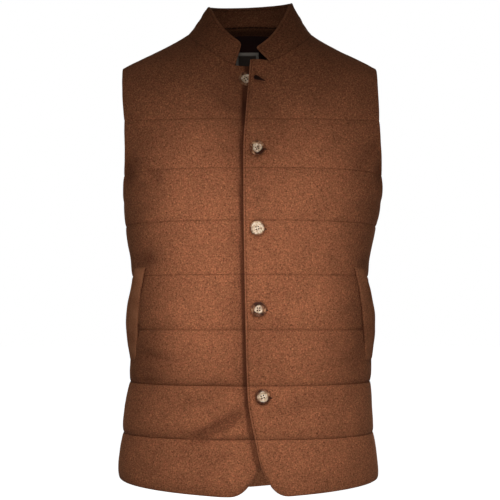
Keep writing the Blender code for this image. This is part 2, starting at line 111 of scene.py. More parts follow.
neckCut = {
    "half": 0.093,
    "frontZ": -0.0565,
    "backZ": 0.016,
    "frontPower": 1.38,
    "backPower": 0.9,
    "backDip": 1.6,
    "leftLift": 0.0105,
    "rightLift": 0.0085,
    "collarShare": 0.133,
    "neckShare": 0.462,
}

closure = {
    "edges": [  # height, the left front's edge, the right front's edge under it
        (-0.046, 0.0003, 0.0270),
        (-0.100, -0.0039, 0.0270),
        (-0.160, -0.0089, 0.0270),
        (-0.200, -0.0094, 0.0275),
        (-0.290, -0.0088, 0.0290),
        (-0.400, -0.0070, 0.0320),
        (-0.500, -0.0045, 0.0350),
        (-0.545, -0.0018, 0.0340),
        (-0.592, 0.0075, 0.0250),
        (-0.622, 0.0140, 0.0168),
        (-0.640, 0.0213, 0.0085),
        (-0.6554, 0.0298, -0.0020),
    ],
    "tuck": 0.0054,
    "topTuck": 0.0104,
    "tuckRun": 0.034,
    "tuckEnd": 0.003,
    "topTuckEnd": 0.020,
    "topTuckZ": (-0.130, -0.100),
    "gully": (0.0045, 0.0052),  # how far the right front sinks beside the left front's edge, and near the hem
    "gullyWidth": (0.0052, 0.0080),
    "gullyTop": (-0.108, -0.092),
    "hemTurn": (-0.600, -0.530),  # the heights where the part near the hem and the part at the neck begin
    "neckTurn": (-0.150, -0.110),
    "shade": (0.88, 0.97),  # painted shade, darkest where the left front's edge lies on it, and at the neck
    "shadeStart": (-0.0104, -0.0074, -0.0100),  # at the neck, between and at the hem
    "shadeRun": 0.0034,
    "softShade": 0.17,
    "stitch": 0.0026,  # the edge stitching's distance from the left front's edge
    "stitchWave": 0.00025,
    "stitchWidth": 0.0005,
    "stitchDepth": 0.0004,
}

hem = {
    "cornerZ": -0.6554,
    "frontZ": -0.6705,
    "sideZ": -0.6565,
    "backZ": -0.6920,
    "round": 0.030,
    "cornerPower": 2.5,
    "backFrom": -0.15,
    "level": 0.040,
    "risePower": 0.65,
}

quilting = {
    "lines": [  # front, side, back, from the hem up
        (-0.5905, -0.5880, -0.5920),
        (-0.5150, -0.5135, -0.5150),
        (-0.4360, -0.4390, -0.4370),
        (-0.3570, -0.3600, -0.3580),
        (-0.2800, -0.2870, -0.2810),
        (-0.2045, -0.2130, -0.2050),
        (-0.1330, -0.1320, -0.1310),
    ],
    "bend": 2.5,
    "topEase": 1.8,
    "puff": 0.0028,
    "wall": 0.0020,
    "fullness": 2.4,
    "loft": (1.10, 1.20, 1.20, 1.10, 1.00, 0.95, 0.90, 0.90),  # row by row, how much fuller than the pattern
    "sag": {  # metres the padding of a row has sunk towards its foot
        "left": (0.0022, 0.0029, 0.0025, 0.0010, 0.0004, 0.0002, 0.0000, 0.0000),
        "right": (0.0034, 0.0050, 0.0052, 0.0018, 0.0004, 0.0002, 0.0000, 0.0000),
        "back": (0.0024, 0.0042, 0.0040, 0.0026, 0.0010, 0.0003, 0.0000, 0.0000),
    },
    "sagPeak": 0.23,
    "groove": 0.0003,
    "thread": (0, 0.50, 0.42, 0.72, 1.0, 1.0, 0.95, 0.45, 0),  # line by line, how much of the thread shows
    "footShade": 0.14,
    "footWidth": 0.0100,
    "seamPuff": 0.8,
    "sidePuff": 0.5,
}
topLine = len(quilting["lines"])
topRow = topLine + 1


def curveOf(rows, column):  # a smooth curve through one column of a table whose rows run downwards
    heights = np.array([row[0] for row in rows][::-1])
    values = np.array([row[column] for row in rows][::-1])
    before = np.maximum(np.arange(len(rows)) - 1, 0)
    after = np.minimum(np.arange(len(rows)) + 1, len(rows) - 1)
    slopes = (values[after] - values[before]) / (heights[after] - heights[before])

    def curve(z):
        z = np.clip(z, heights[0], heights[-1])
        i = np.clip(np.searchsorted(heights, z) - 1, 0, len(rows) - 2)
        span = heights[i + 1] - heights[i]
        t = (z - heights[i]) / span
        start = values[i] * (1 + 2 * t) * (1 - t) ** 2 + slopes[i] * span * t * (1 - t) ** 2
        return start + values[i + 1] * t * t * (3 - 2 * t) + slopes[i + 1] * span * t * t * (t - 1)

    return curve


halfWidth = curveOf(body["sections"], 1)
depthOf = {"front": curveOf(body["sections"], 2), "back": curveOf(body["sections"], 3)}
swayAt = curveOf(body["sections"], 4)
leftEdge = curveOf(closure["edges"], 1)
rightEdge = curveOf(closure["edges"], 2)


def restOf(share):
    power = body["roundness"]
    return np.maximum(1 - np.minimum(np.abs(share), 1) ** power, 0) ** (1 / power)


def ridge(x):
    x = np.abs(x)
    line = shoulder["tipZ"] + shoulder["slope"] * (shoulder["tipX"] - x)
    line = line + shoulder["neckRise"] * np.maximum(0, shoulder["neckRiseX"] - x) ** 2
    return line + shoulder["napeRise"] * np.maximum(0, shoulder["napeRiseX"] - x) ** 2


def rounding(x, z):
    drop = np.clip((ridge(x) - z) / shoulder["round"], 0, 1)
    return np.sqrt(1 - (1 - drop) ** 2)


def armhole(z):
    half = (armholeCut["top"] - armholeCut["foot"]) / 2
    return restOf(np.minimum((z - armholeCut["foot"]) / half - 1, 0))


def reachOf(z, face):
    return armhole(z) * armholeCut[face + "Reach"]


def extent(z, face):
    return halfWidth(z) / restOf(reachOf(z, face)), depthOf[face](z)


def onFace(x, z, face):
    width, depth = extent(z, face)
    y = depth * restOf(x / width) * rounding(x, z)
    return np.stack([x + 0 * y, -y if face == "front" else y, z + 0 * y], axis=-1)


def around(turn, z):
    across, along = np.sin(turn), np.cos(turn)
    size = (np.abs(across) ** body["roundness"] + np.abs(along) ** body["roundness"]) ** (1 / body["roundness"])
    isFront = np.abs(turn) < math.pi / 2
    frontWidth, frontDepth = extent(z, "front")
    backWidth, backDepth = extent(z, "back")
    x = np.where(isFront, frontWidth, backWidth) * across / size
    y = -np.where(isFront, frontDepth, backDepth) * along / size * rounding(x, z)
    return np.stack([x, y, z + 0 * x], axis=-1)


def edgeTurn(z, face):
    reach = reachOf(z, face)
    seam = body["sideTurn"] if face == "front" else math.pi - body["sideTurn"]
    return np.arctan2(restOf(reach), reach) + (seam - math.pi / 2) * (1 - armhole(z))


def neckHeight(x):
    power = neckCut["frontPower"]
    share = np.minimum(np.abs(x) / neckCut["half"], 1) ** (1 / power)
    return mix(ridge(neckCut["half"]), neckCut["frontZ"], (1 - share * share) ** (power / 2))


def openingEdge(side, z):
    return leftEdge(z) if side > 0 else -rightEdge(z)


def frontHem(side, turn):
    x = around(turn, hem["sideZ"])[..., 0]
    fromCorner = np.maximum(x - openingEdge(side, hem["cornerZ"]), 0)
    corner = (hem["cornerZ"] - hem["frontZ"]) * np.maximum(1 - fromCorner / hem["round"], 0) ** hem["cornerPower"]
    out = np.clip((x - hem["level"]) / (body["sections"][-1][1] - hem["level"]), 0, 1)
    return mix(hem["sideZ"], hem["frontZ"], (1 - out) ** hem["risePower"]) + corner


def frontLine(side, line, u):
    if line == 0:
        start = math.asin(openingEdge(side, hem["cornerZ"]) / body["sections"][-1][1])
        return frontHem(side, mix(start, body["sideTurn"], u))
    front, sideZ, _ = quilting["lines"][line - 1]
    return mix(front, sideZ, u ** quilting["bend"])


def backLine(line, u):
    if line == 0:
        return mix(hem["backZ"], hem["sideZ"], smooth(hem["backFrom"], 1.0, u))
    _, sideZ, back = quilting["lines"][line - 1]
    return mix(back, sideZ, u ** quilting["bend"])


collarCut = {
    "end": {1: 0.0286, -1: 0.0220},
    "topEnd": {1: 0.0060, -1: 0.0112},
    "topHalf": 0.0632,
    "topFrontY": -0.088,
    "topSideY": -0.008,
    "topBackY": 0.050,
    "topEndZ": {1: -0.0260, -1: -0.0185},
    "topSideZ": 0.0495,
    "topBackZ": 0.0557,
    "power": 2.2,
    "behind": 0.545,
    "sink": 0.0008,
    "tilt": 0.0030,
    "sag": 0.0018,
    "corner": 0.09,
    "cornerFrom": 0.9,
    "wall": 0.0032,
    "seamLine": 0.30,  # height share of the seam across its inside
    "sideRounding": 0.0018,
    "sidePower": 40,
    "sewnIn": -0.0006,
    "edgeRadius": 0.0018,
    "stitch": 0.0045,
    "bandShade": 0.80,  # inside, in the neck's own shadow
    "cornerRadius": 0.0060,
    "cornerHeight": 0.045,
}


def frontTop(side, u):
    end = collarCut["end"][side]
    collarShare, neckShare, half = neckCut["collarShare"], neckCut["neckShare"], neckCut["half"]
    rest = np.clip(1 - u / collarShare, 0, 1)
    besideX = mix(end, openingEdge(side, armholeCut["top"]), rest)
    lift = neckCut["leftLift"] * rest * (2 - rest) if side > 0 else neckCut["rightLift"] * rest
    besideZ = neckHeight(besideX) + lift
    start = math.asin((end / half) ** (1 / neckCut["frontPower"]))
    turn = mix(start, math.pi / 2, np.clip((u - collarShare) / (neckShare - collarShare), 0, 1))
    neckX = half * np.sin(turn) ** neckCut["frontPower"]
    shoulderX = mix(half, shoulder["tipX"], np.clip((u - neckShare) / (1 - neckShare), 0, 1))
    x = np.where(u <= collarShare, besideX, np.where(u <= neckShare, neckX, shoulderX))
    z = np.where(u <= collarShare, besideZ, np.where(u <= neckShare, neckHeight(neckX), ridge(shoulderX)))
    return x, z


def backTop(u):
    neckShare, half = neckCut["neckShare"], neckCut["half"]
    turn = math.pi / 2 * np.clip(u / neckShare, 0, 1)
    neckX = half * np.sin(turn) ** neckCut["backPower"]
    neckZ = mix(ridge(half), neckCut["backZ"], np.maximum(np.cos(turn), 0) ** neckCut["backDip"])
    shoulderX = mix(half, shoulder["tipX"], np.clip((u - neckShare) / (1 - neckShare), 0, 1))
    return np.where(u <= neckShare, neckX, shoulderX), np.where(u <= neckShare, neckZ, ridge(shoulderX))


def frontBlock(side, u, line, share):
    z = mix(frontLine(side, line, u), frontLine(side, line + 1, u), share)
    width, _ = extent(z, "front")
    middle = openingEdge(side, z) / width
    start = np.arctan2(middle, restOf(middle))
    turn = mix(start, body["sideTurn"], u) - (body["sideTurn"] - edgeTurn(z, "front")) * u * u
    return around(turn, z)


def backBlock(u, line, share):
    z = mix(backLine(line, u), backLine(line + 1, u), share)
    seam = math.pi - body["sideTurn"]
    turn = seam * u - (seam - edgeTurn(z, "back")) * u * u
    return around(math.pi - turn, z)


def formRow(panel, u, v):  # one row of the smooth form; u from 0 at the edge or middle to 1 at the side
    line = min(int(v), topLine)
    side = -1 if panel == "right" else 1
    if line < topLine:
        points = backBlock(u, line, v - line) if panel == "back" else frontBlock(side, u, line, v - line)
    else:
        face = "back" if panel == "back" else "front"
        foot = backBlock(u, line - 1, 1.0) if panel == "back" else frontBlock(side, u, line - 1, 1.0)
        x, z = backTop(u) if panel == "back" else frontTop(side, u)
        ease = 1 - (1 - (v - line)) ** quilting["topEase"]
        points = onFace(mix(foot[:, 0], x, ease), mix(foot[:, 2], z, ease), face)
    return points * [side, 1, 1]


def bulk(points, face):
    x, y, z = points[..., 0], points[..., 1], points[..., 2]
    width, depth = extent(z, face)
    drop = (ridge(x) - z) / shoulder["round"]
    rest = np.maximum(restOf(x / width), 1e-6)
    high = (y / depth / rest) ** 2 + (1 - drop) ** 2
    low = np.abs(x / width) ** body["roundness"] + np.abs(y / depth) ** body["roundness"]
    return np.where(drop < 1, high, low)


def facing(points, face):  # the body's outward normals
    step = 0.0002
    rates = []
    for axis in np.eye(3) * step:
        rates.append(bulk(points + axis, face) - bulk(points - axis, face))
    rates = np.stack(rates, axis=-1)
    return rates / np.linalg.norm(rates, axis=-1, keepdims=True)


def facingOf(points, panel):
    if panel == "back":
        return facing(points, "back")
    return np.where((points[..., 1] > 0)[..., None], facing(points, "back"), facing(points, "front"))


def swayed(points):
    shift = swayAt(points[..., 2]) * smooth(body["swayFrom"], body["swayTo"], np.abs(points[..., 0]))
    return points + np.stack([shift, 0 * shift, 0 * shift], axis=-1)


def tuckOf(points):  # how far the right front is eased in under the left one
    z = points[..., 2]
    atNeck = smooth(*closure["topTuckZ"], z)
    end = leftEdge(z) - mix(closure["tuckEnd"], closure["topTuckEnd"], atNeck)
    amount = mix(closure["tuck"], closure["topTuck"], atNeck)
    return amount * smooth(0, 1, (points[..., 0] - (end - closure["tuckRun"])) / closure["tuckRun"])


def material(name):
    made = bpy.data.materials.new(name)
    made.use_nodes = True
    return made, made.node_tree.nodes["Principled BSDF"]


def feed(made, target, source):  # an input takes a value, or a link from another node's socket
    if isinstance(source, bpy.types.NodeSocket):
        made.node_tree.links.new(source, target)
    else:
        target.default_value = source


def addNode(made, kind, inputs=(), **settings):  # one node with its settings and its fed inputs
    node = made.node_tree.nodes.new(kind)
    for key, value in settings.items():
        if key in node.inputs:
            node.inputs[key].default_value = value
        else:
            setattr(node, key, value)
    for socket, source in inputs:
        feed(made, node.inputs[socket], source)
    return node


def placeOn(made):  # a point's place on the object, in metres
    return addNode(made, "ShaderNodeTexCoord").outputs["Object"]


def mapped(made, place, **settings):
    return addNode(made, "ShaderNodeMapping", [("Vector", place)], **settings).outputs[0]


def noise(made, place, scale, detail, **settings):
    inputs = (("Vector", place), ("Scale", scale), ("Detail", detail))
    return addNode(made, "ShaderNodeTexNoise", inputs, **settings).outputs[0]


def waves(made, place, scale, **settings):
    return addNode(made, "ShaderNodeTexWave", (("Vector", place), ("Scale", scale)), **settings).outputs[1]


def marked(made, name):  # an amount set on the mesh's points
    return addNode(made, "ShaderNodeAttribute", attribute_name=name).outputs["Fac"]


def worked(made, operation, first, second):
    return addNode(made, "ShaderNodeMath", ((0, first), (1, second)), operation=operation).outputs[0]


def ranged(made, source, low, high, toLow, toHigh):
    inputs = (("Value", source), ("From Min", low), ("From Max", high), ("To Min", toLow), ("To Max", toHigh))
    return addNode(made, "ShaderNodeMapRange", inputs).outputs[0]


def ramped(made, source, *stops):  # a colour ramp of (position, sRGB hex) stops, fed by a socket
    ramp = addNode(made, "ShaderNodeValToRGB", [("Fac", source)])
    elements = ramp.color_ramp.elements
    elements[0].position, elements[0].color = stops[0][0], linear(stops[0][1])
    elements[1].position, elements[1].color = stops[-1][0], linear(stops[-1][1])
    for position, colour in stops[1:-1]:
        elements.new(position).color = linear(colour)
    return ramp.outputs[0]


def blended(made, kind, share, first, second):
    inputs = ((0, share), (6, first), (7, second))
    return addNode(made, "ShaderNodeMix", inputs, data_type="RGBA", blend_type=kind).outputs[2]


def finished(made, shader, colour, roughness, specular, **others):
    inputs = {"Base Color": colour, "Roughness": roughness, "Specular IOR Level": specular, **others}
    for name, source in inputs.items():
        feed(made, shader.inputs[name], source)
    return made


def bumped(made, height, strength, distance):
    inputs = (("Height", height), ("Strength", strength), ("Distance", distance))
    return addNode(made, "ShaderNodeBump", inputs).outputs[0]


def stitchedShare(made):  # where thread is sewn in: stitches 3 mm long along the seam, with small gaps
    cloth = addNode(made, "ShaderNodeUVMap", uv_map="cloth").outputs[0]
    gaps = ranged(made, waves(made, cloth, 75.0, bands_direction="DIAGONAL"), 0.05, 0.30, 0.55, 1.0)
    return worked(made, "MULTIPLY", marked(made, "stitched"), gaps)


def woolFlannel(name, dark, middle, light, thread):
    # brushed melange wool flannel: dark and light fibres are spun together and woven, so the cloth is
    # freckled thread by thread, with a matt, slightly furry surface
    made, shader = material(name)
    place = placeOn(made)
    # yarns are 0.5 mm apart, too fine to show at this size, so they are drawn at about 1 mm
    weft = mapped(made, place, Scale=(340, 340, 930))
    warp = mapped(made, place, Scale=(980, 980, 310))
    weave = worked(made, "ADD", noise(made, weft, 1.0, 3.0, Roughness=0.6), noise(made, warp, 1.0, 3.0, Roughness=0.6))
    freckled = worked(made, "ADD", weave, noise(made, place, 520.0, 4.0, Roughness=0.6))
    share = worked(made, "DIVIDE", freckled, 3.0)
    fibres = ramped(made, share, (0.37, dark), (0.5, middle), (0.63, light))
    # red and ochre fibres side by side
    warmth = noise(made, weft, 0.55, 3.0, Roughness=0.7)
    tint = ramped(made, warmth, (0.36, "#FFE9E6"), (0.5, "#FFF2EC"), (0.64, "#FFFAF0"))
    patches = ranged(made, noise(made, place, 24.0, 3.0, Roughness=0.6), 0.3, 0.7, 0.88, 1.10)
    toned = blended(made, "MULTIPLY", 1.0, blended(made, "MULTIPLY", 1.0, fibres, tint), patches)
    # painted shade: the colour is mixed towards the thread colour in folds, hollows, beside the left front's edge and
    # round the buttons; edges are painted lighter, partly rubbed nap and partly painted highlight
    shaded = blended(made, "MIX", marked(made, "shade"), toned, linear(thread))
    wornAndHighlit = blended(made, "MIX", marked(made, "wornAndHighlit"), shaded, linear(light))
    sewn = blended(made, "MIX", stitchedShare(made), wornAndHighlit, linear(thread))
    return finished(made, shader, sewn, 0.95, 0.12, Normal=bumped(made, share, 0.30, 0.00035), **{
        "Sheen Weight": 0.20, "Sheen Roughness": 0.45, "Sheen Tint": linear("#C58A63")})


def liningTwill(name, dark, light):
    # viscose lining twill: smooth fine diagonal ribs, dark with a low soft sheen
    made, shader = material(name)
    place = placeOn(made)
    # ribs 0.6 mm apart are drawn at 1.6 mm to show
    turned = mapped(made, place, Rotation=(0, math.radians(50), 0))
    ribs = waves(made, turned, 98.0, Distortion=0.6, Detail=1.0)
    soft = noise(made, place, 30.0, 2.0)
    normal = bumped(made, worked(made, "ADD", ribs, soft), 0.25, 0.0002)
    return finished(made, shader, ramped(made, soft, (0.3, dark), (0.7, light)), 0.6, 0.10, Normal=normal)


def wovenLabel(name):
    # damask label: tight satin weave of grey polyester thread, matt with fine level ribs
    made, shader = material(name)
    place = placeOn(made)
    ribs = waves(made, place, 160.0, bands_direction="Z", Distortion=0.4)
    grain = noise(made, place, 900.0, 2.0)
    ground = ramped(made, grain, (0.3, "#2A211B"), (0.7, "#3A2F27"))
    colour = blended(made, "MIX", marked(made, "stitched"), ground, linear("#8F877E"))
    normal = bumped(made, worked(made, "ADD", ribs, grain), 0.3, 0.0003)
    return finished(made, shader, colour, 0.75, 0.25, Normal=normal)


def polishedHorn(name):
    # horn, turned and polished: cream clouded with brown, darker streaks towards the rim, glossy
    made, shader = material(name)
    place = placeOn(made)
    clouds = noise(made, place, 95.0, 4.0, Distortion=1.2)
    streaks = noise(made, place, 300.0, 3.0, Roughness=0.7)
    rim = ramped(made, clouds, (0.38, "#341608"), (0.48, "#5A3420"), (0.57, "#8A5F44"), (0.70, "#B58C68"))
    middle = ramped(made, streaks, (0.32, "#80604A"), (0.50, "#C4AA8E"), (0.66, "#E8DAC4"))
    return finished(made, shader, blended(made, "MIX", marked(made, "bowl"), rim, middle), 0.38, 0.10)


def spunThread(name, dark, light):
    # polyester sewing thread: fine twisted strands, matt
    made, shader = material(name)
    twist = noise(made, placeOn(made), 1500.0, 1.0)
    return finished(made, shader, ramped(made, twist, (0.35, dark), (0.65, light)), 0.8, 0.15)


def paintedFloor(name):
    # white studio paint: flat, faintly uneven, and glowing white to the camera only, as a backdrop
    made, shader = material(name)
    paint = ramped(made, noise(made, placeOn(made), 2.0, 2.0), (0.0, "#EFEFEE"), (1.0, "#F6F6F5"))
    seen = addNode(made, "ShaderNodeLightPath").outputs["Is Camera Ray"]
    return finished(made, shader, paint, 0.9, 0.5, **{"Emission Strength": seen, "Emission Color": (1, 1, 1, 1)})


wool = woolFlannel("brushed melange wool flannel", "#523121", "#82543A", "#B27653", "#3A1A0D")
# the same wool painted a little lighter, standing in for light falling inside the neck; its dark thread colour paints
# the shade inside the collar
facingWoolPaintedLighter = woolFlannel("wool flannel facing painted lighter", "#543523", "#88583D", "#B27E5D", "#1E0E07")
lining = liningTwill("viscose lining twill", "#1B0705", "#290D09")
labelCloth = wovenLabel("woven polyester label")
horn = polishedHorn("polished horn")
brownThread = spunThread("brown sewing thread", "#24120A", "#40241A")
# painted shade in the buttonholes: a dark sheet, using the thread material
holeShade = spunThread("painted shade in the buttonholes", "#1D0D07", "#2E160C")
print("materials made")


def objectOf(name, shape):
    mesh = bpy.data.meshes.new(name)
    shape.to_mesh(mesh)
    shape.free()
    made = bpy.data.objects.new(name, mesh)
    bpy.context.collection.objects.link(made)
    return made


def finishPiece(name, shape, finishes, replaced=()):
    made = objectOf(name, shape)
    made.data.shade_smooth()
    for each in finishes:
        made.data.materials.append(each)
    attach(made, "root")
    if replaced:
        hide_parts(*replaced)
    return made


def clothWall(outer, inner, finishAt=None, marks=None, marksInside=None):
    # a grid doubled into two faces and a rim; finishAt(i, j) gives the finish of an inner face, and the marks
    # are amounts by name on the outer and on the inner points, for the materials
    across, up = outer.shape[:2]
    place = np.stack([arcs(outer, 0), arcs(outer, 1)], axis=-1)
    shape = bmesh.new()
    uvLayer = shape.loops.layers.uv.new("cloth")  # layers come first: adding one later makes the vertices anew
    layers = [(name, shape.verts.layers.float.new(name)) for name in ("stitched", "shade", "wornAndHighlit")]
    bmesh.ops.create_grid(shape, x_segments=across - 1, y_segments=up - 1, size=0.5)
    doubled = bmesh.ops.extrude_face_region(shape, geom=shape.faces[:], use_keep_orig=True)
    within = {part for part in doubled["geom"] if isinstance(part, bmesh.types.BMVert)}
    cell = {}
    for corner in shape.verts:
        i = round((corner.co.x + 0.5) * (across - 1))
        j = round((corner.co.y + 0.5) * (up - 1))
        cell[corner] = (i, j)
        corner.co = (inner if corner in within else outer)[i, j]
        amounts = (marksInside if corner in within else marks) or {}
        for name, layer in layers:
            corner[layer] = float(amounts[name][i, j]) if name in amounts else 0.0
    for face in shape.faces:
        corners = [cell[corner] for corner in face.verts]
        if finishAt and all(corner in within for corner in face.verts):
            face.material_index = finishAt(min(c[0] for c in corners), min(c[1] for c in corners))
        for loop, (i, j) in zip(face.loops, corners):
            loop[uvLayer].uv = place[i, j]
    bmesh.ops.recalc_face_normals(shape, faces=shape.faces)
    if shape.calc_volume(signed=True) < 0:
        bmesh.ops.reverse_faces(shape, faces=shape.faces)
    return shape


def arcs(points, axis):  # distance from the grid's first edge along its rows or columns
    steps = np.linalg.norm(np.diff(points, axis=axis), axis=-1)
    start = np.zeros_like(np.take(steps, [0], axis=axis))
    return np.concatenate([start, np.cumsum(steps, axis=axis)], axis=axis)


def rounded(distance, radius):  # share of the wall's half thickness left near an edge
    share = np.clip(distance / radius, 0, 1)
    return np.maximum(np.sqrt(1 - (1 - share) ** 2), 0.12)


cloth = {
    "edgeStops": (0, 0.0003, 0.0008, 0.0014, 0.0020, 0.0026, 0.0032, 0.0040, 0.0054, 0.0072),
    "frontStep": 0.0026,
    "backStep": 0.0034,
    "lineStops": (0, 0.0004, 0.0010, 0.0018, 0.0029, 0.0044, 0.0064, 0.0090, 0.0120),
    "rowStep": 0.0042,
    "panelAcross": 0.250,
    "blockHeight": 0.077,
    "topHeight": 0.130,
    "edgeRadius": 0.0019,
    "seamRadius": 0.0007,
    "seamWidth": 0.0009,
    "armholeRun": 0.004,
    "fullest": -0.0062,  # the outer surface stays between these depths
    "flattest": 0.0040,
}
facingWidth = {"hem": 0.032, "top": 0.010, "armhole": 0.012, "front": 0.060}

wearAndHighlight = {  # how far edges are painted lighter, partly rubbed nap and partly painted highlight where rolled edges catch the light, and over what width
    "edge": 0.30,
    "edgeWidth": 0.0016,
    "front": (0.22, 0.42),  # low down and at the neck
    "frontTurn": (-0.130, -0.090),
    "frontWidth": 0.0020,
    "collar": 0.34,
    "collarWidth": 0.0022,
    "welt": {1: 0.26, -1: 0.50},
    "patch": 0.030,
}


def stopsBetween(length, first, last, step):  # stops close together at both ends, as shares of the length
    middle = np.arange(first[-1] + step, length - last[-1] - step / 2, step)
    stops = np.concatenate([first, middle, length - np.array(last)[::-1]])
    return stops / length


def panelRows():
    line, edge = cloth["lineStops"], cloth["edgeStops"]
    rows = [0 + s for s in stopsBetween(cloth["blockHeight"], edge, line, cloth["rowStep"])[:-1]]
    for k in range(1, topLine):
        rows += [k + s for s in stopsBetween(cloth["blockHeight"], line, line, cloth["rowStep"])[:-1]]
    rows += [topLine + s for s in stopsBetween(cloth["topHeight"], line, edge, cloth["rowStep"])]
    return np.array(rows)


def mirrored(u):
    return np.stack([np.where(u < 0, -1, 1), 1 + 0 * u, 1 + 0 * u], axis=-1)


def formGrid(which, half, rows):  # the smooth form over a grid of columns and rows, for the back on both sides
    columns = np.concatenate([-half[:0:-1], half]) if which == "back" else half
    return np.stack([formRow(which, np.abs(columns), v) * mirrored(columns) for v in rows], axis=1)


button = {
    "holeRadius": 0.00110,
    "bowls": (0.0060, 0.0058, 0.0082, 0.0050, 0.0066),  # how far the light middle of each one reaches
    "bowlWave": 0.0005,
    "bowlEdge": 0.0012,
    "holeSpread": 0.0017,
    "thread": 0.00036,
    "lift": 0.0003,
    "pressed": (0.0095, 0.0185),  # the button pulls the cloth flat this far round it
    "contact": (0.0100, 0.0134, 0.80),  # from, to and how dark its shade on the cloth is
    "contactDrop": 0.0007,
    "places": [  # x, z, turn in degrees, depth below the panel's fullest form
        (-0.0057, -0.0725, 35, 0.0104),
        (0.0102, -0.1775, 25, 0.0002),
        (0.0103, -0.2912, 10, 0.0007),
        (0.0121, -0.4062, 0, 0.0000),
        (0.0179, -0.5298, 20, 0.0006),
    ],
    "profile": [  # radius and height, in millimetres
        (0.0, 0.0), (6.4, 0.0), (8.8, 0.35), (10.0, 1.0), (10.5, 1.9), (10.35, 2.6), (9.9, 3.15), (9.2, 3.45),
        (8.4, 3.5), (7.6, 3.3), (6.9, 2.9), (6.4, 2.45), (5.9, 2.15), (5.2, 1.95), (4.0, 1.8), (0.0, 1.75),
    ],
}

creases = {  # x, z of both ends on the surface, width, depth (below 0 it stands up), all in metres
    "left": [
        (0.186, -0.158, 0.156, -0.205, 0.012, 0.0014),
        (0.186, -0.172, 0.160, -0.222, 0.010, -0.0012),
        (0.120, -0.532, 0.020, -0.556, 0.012, 0.0012),
        (0.016, -0.100, 0.058, -0.150, 0.012, 0.0010),
    ],
    "right": [
        (-0.178, -0.186, -0.138, -0.222, 0.013, 0.0034),
        (-0.170, -0.160, -0.146, -0.238, 0.010, -0.0022),
        (-0.012, -0.536, -0.090, -0.570, 0.012, -0.0044),
        (-0.008, -0.552, -0.080, -0.590, 0.012, 0.0046),
        (-0.160, -0.472, -0.112, -0.478, 0.007, 0.0026),
        (-0.160, -0.486, -0.118, -0.492, 0.007, -0.0016),
        (-0.022, -0.640, -0.085, -0.649, 0.015, -0.0022),
    ],
    "back": [
        (0.150, -0.150, 0.110, -0.215, 0.015, 0.0026),
        (-0.150, -0.155, -0.112, -0.218, 0.015, 0.0026),
        (0.060, -0.345, 0.140, -0.372, 0.014, 0.0022),
        (-0.055, -0.350, -0.145, -0.366, 0.014, 0.0022),
        (0.020, -0.560, 0.120, -0.590, 0.016, 0.0016),
    ],
}

hollows = {  # x, z, half width, half height, depth, how dark the painted shade in it is
    "left": [
        (0.187, -0.207, 0.010, 0.020, 0.0030, 0.48),
        (0.160, -0.224, 0.026, 0.008, 0.0010, 0.12),
        (0.168, -0.338, 0.011, 0.010, 0.0020, 0.32),
        (0.150, -0.478, 0.026, 0.022, 0.0010, 0.18),
        (0.0125, -0.0745, 0.0085, 0.0060, 0.0020, 0.50),  # the cloth dips where the top buttonhole gapes, with painted shade in the dip
        (0.0080, -0.0680, 0.0026, 0.0085, 0.0012, 0.46),
    ],
    "right": [
        (-0.183, -0.208, 0.013, 0.024, 0.0036, 0.58),
        (-0.160, -0.228, 0.016, 0.010, 0.0018, 0.22),
        (-0.150, -0.334, 0.022, 0.013, 0.0034, 0.46),
        (-0.146, -0.508, 0.022, 0.0055, 0.0018, 0.40),
        (-0.146, -0.480, 0.034, 0.022, 0.0020, 0.30),
    ],
    "back": [],
}


def creased(points, rows, seed):
    x, z = points[..., 0], points[..., 2]
    total = np.zeros_like(x)
    for n, (x0, z0, x1, z1, width, depth) in enumerate(rows):
        length = math.hypot(x1 - x0, z1 - z0)
        along = ((x - x0) * (x1 - x0) + (z - z0) * (z1 - z0)) / length / length
        off = ((x - x0) * (z1 - z0) - (z - z0) * (x1 - x0)) / length
        off = off + 0.18 * width * unevenness(x, z, 0.045, seed + n)
        ends = smooth(-0.25, 0.3, along) * (1 - smooth(0.7, 1.25, along))
        total += depth * ends * (bell(off, width) - 0.35 * bell(np.abs(off) - 1.7 * width, width))
    return total


def panelGrid(which):  # a panel's smooth form, with each point's distances to its edges and its stitch lines
    grid = SimpleNamespace(which=which, isBack=which == "back", rows=panelRows())
    edge = cloth["edgeStops"]
    first, step = ((0,), cloth["backStep"]) if grid.isBack else (edge, cloth["frontStep"])
    grid.form = formGrid(which, stopsBetween(cloth["panelAcross"], first, edge, step), grid.rows)
    grid.x, grid.z = grid.form[..., 0], grid.form[..., 2]
    grid.across, grid.up = arcs(grid.form, 0), arcs(grid.form, 1)
    grid.toFirst, grid.toLast = grid.across, grid.across[-1:] - grid.across
    grid.toHem, grid.toTop = grid.up, grid.up[:, -1:] - grid.up
    grid.toSide = np.minimum(grid.toFirst, grid.toLast) if grid.isBack else grid.toLast
    grid.line = np.minimum(grid.rows.astype(int), topLine)
    grid.share = grid.rows - grid.line
    grid.lineOf = np.where(grid.share > 0.5, grid.line + 1, grid.line)
    ends = [np.argmin(np.abs(grid.rows - k)) for k in grid.lineOf]
    grid.nearest = np.abs(grid.up - np.take(grid.up, ends, axis=1))
    sewn = (grid.lineOf >= 1) & (grid.lineOf <= topLine)
    grid.nearLine = np.where(sewn[None, :], grid.nearest, 1.0)
    foot, run = armholeCut["foot"], cloth["armholeRun"]
    grid.inArmhole = smooth(foot - run, foot + run, grid.z)
    return grid


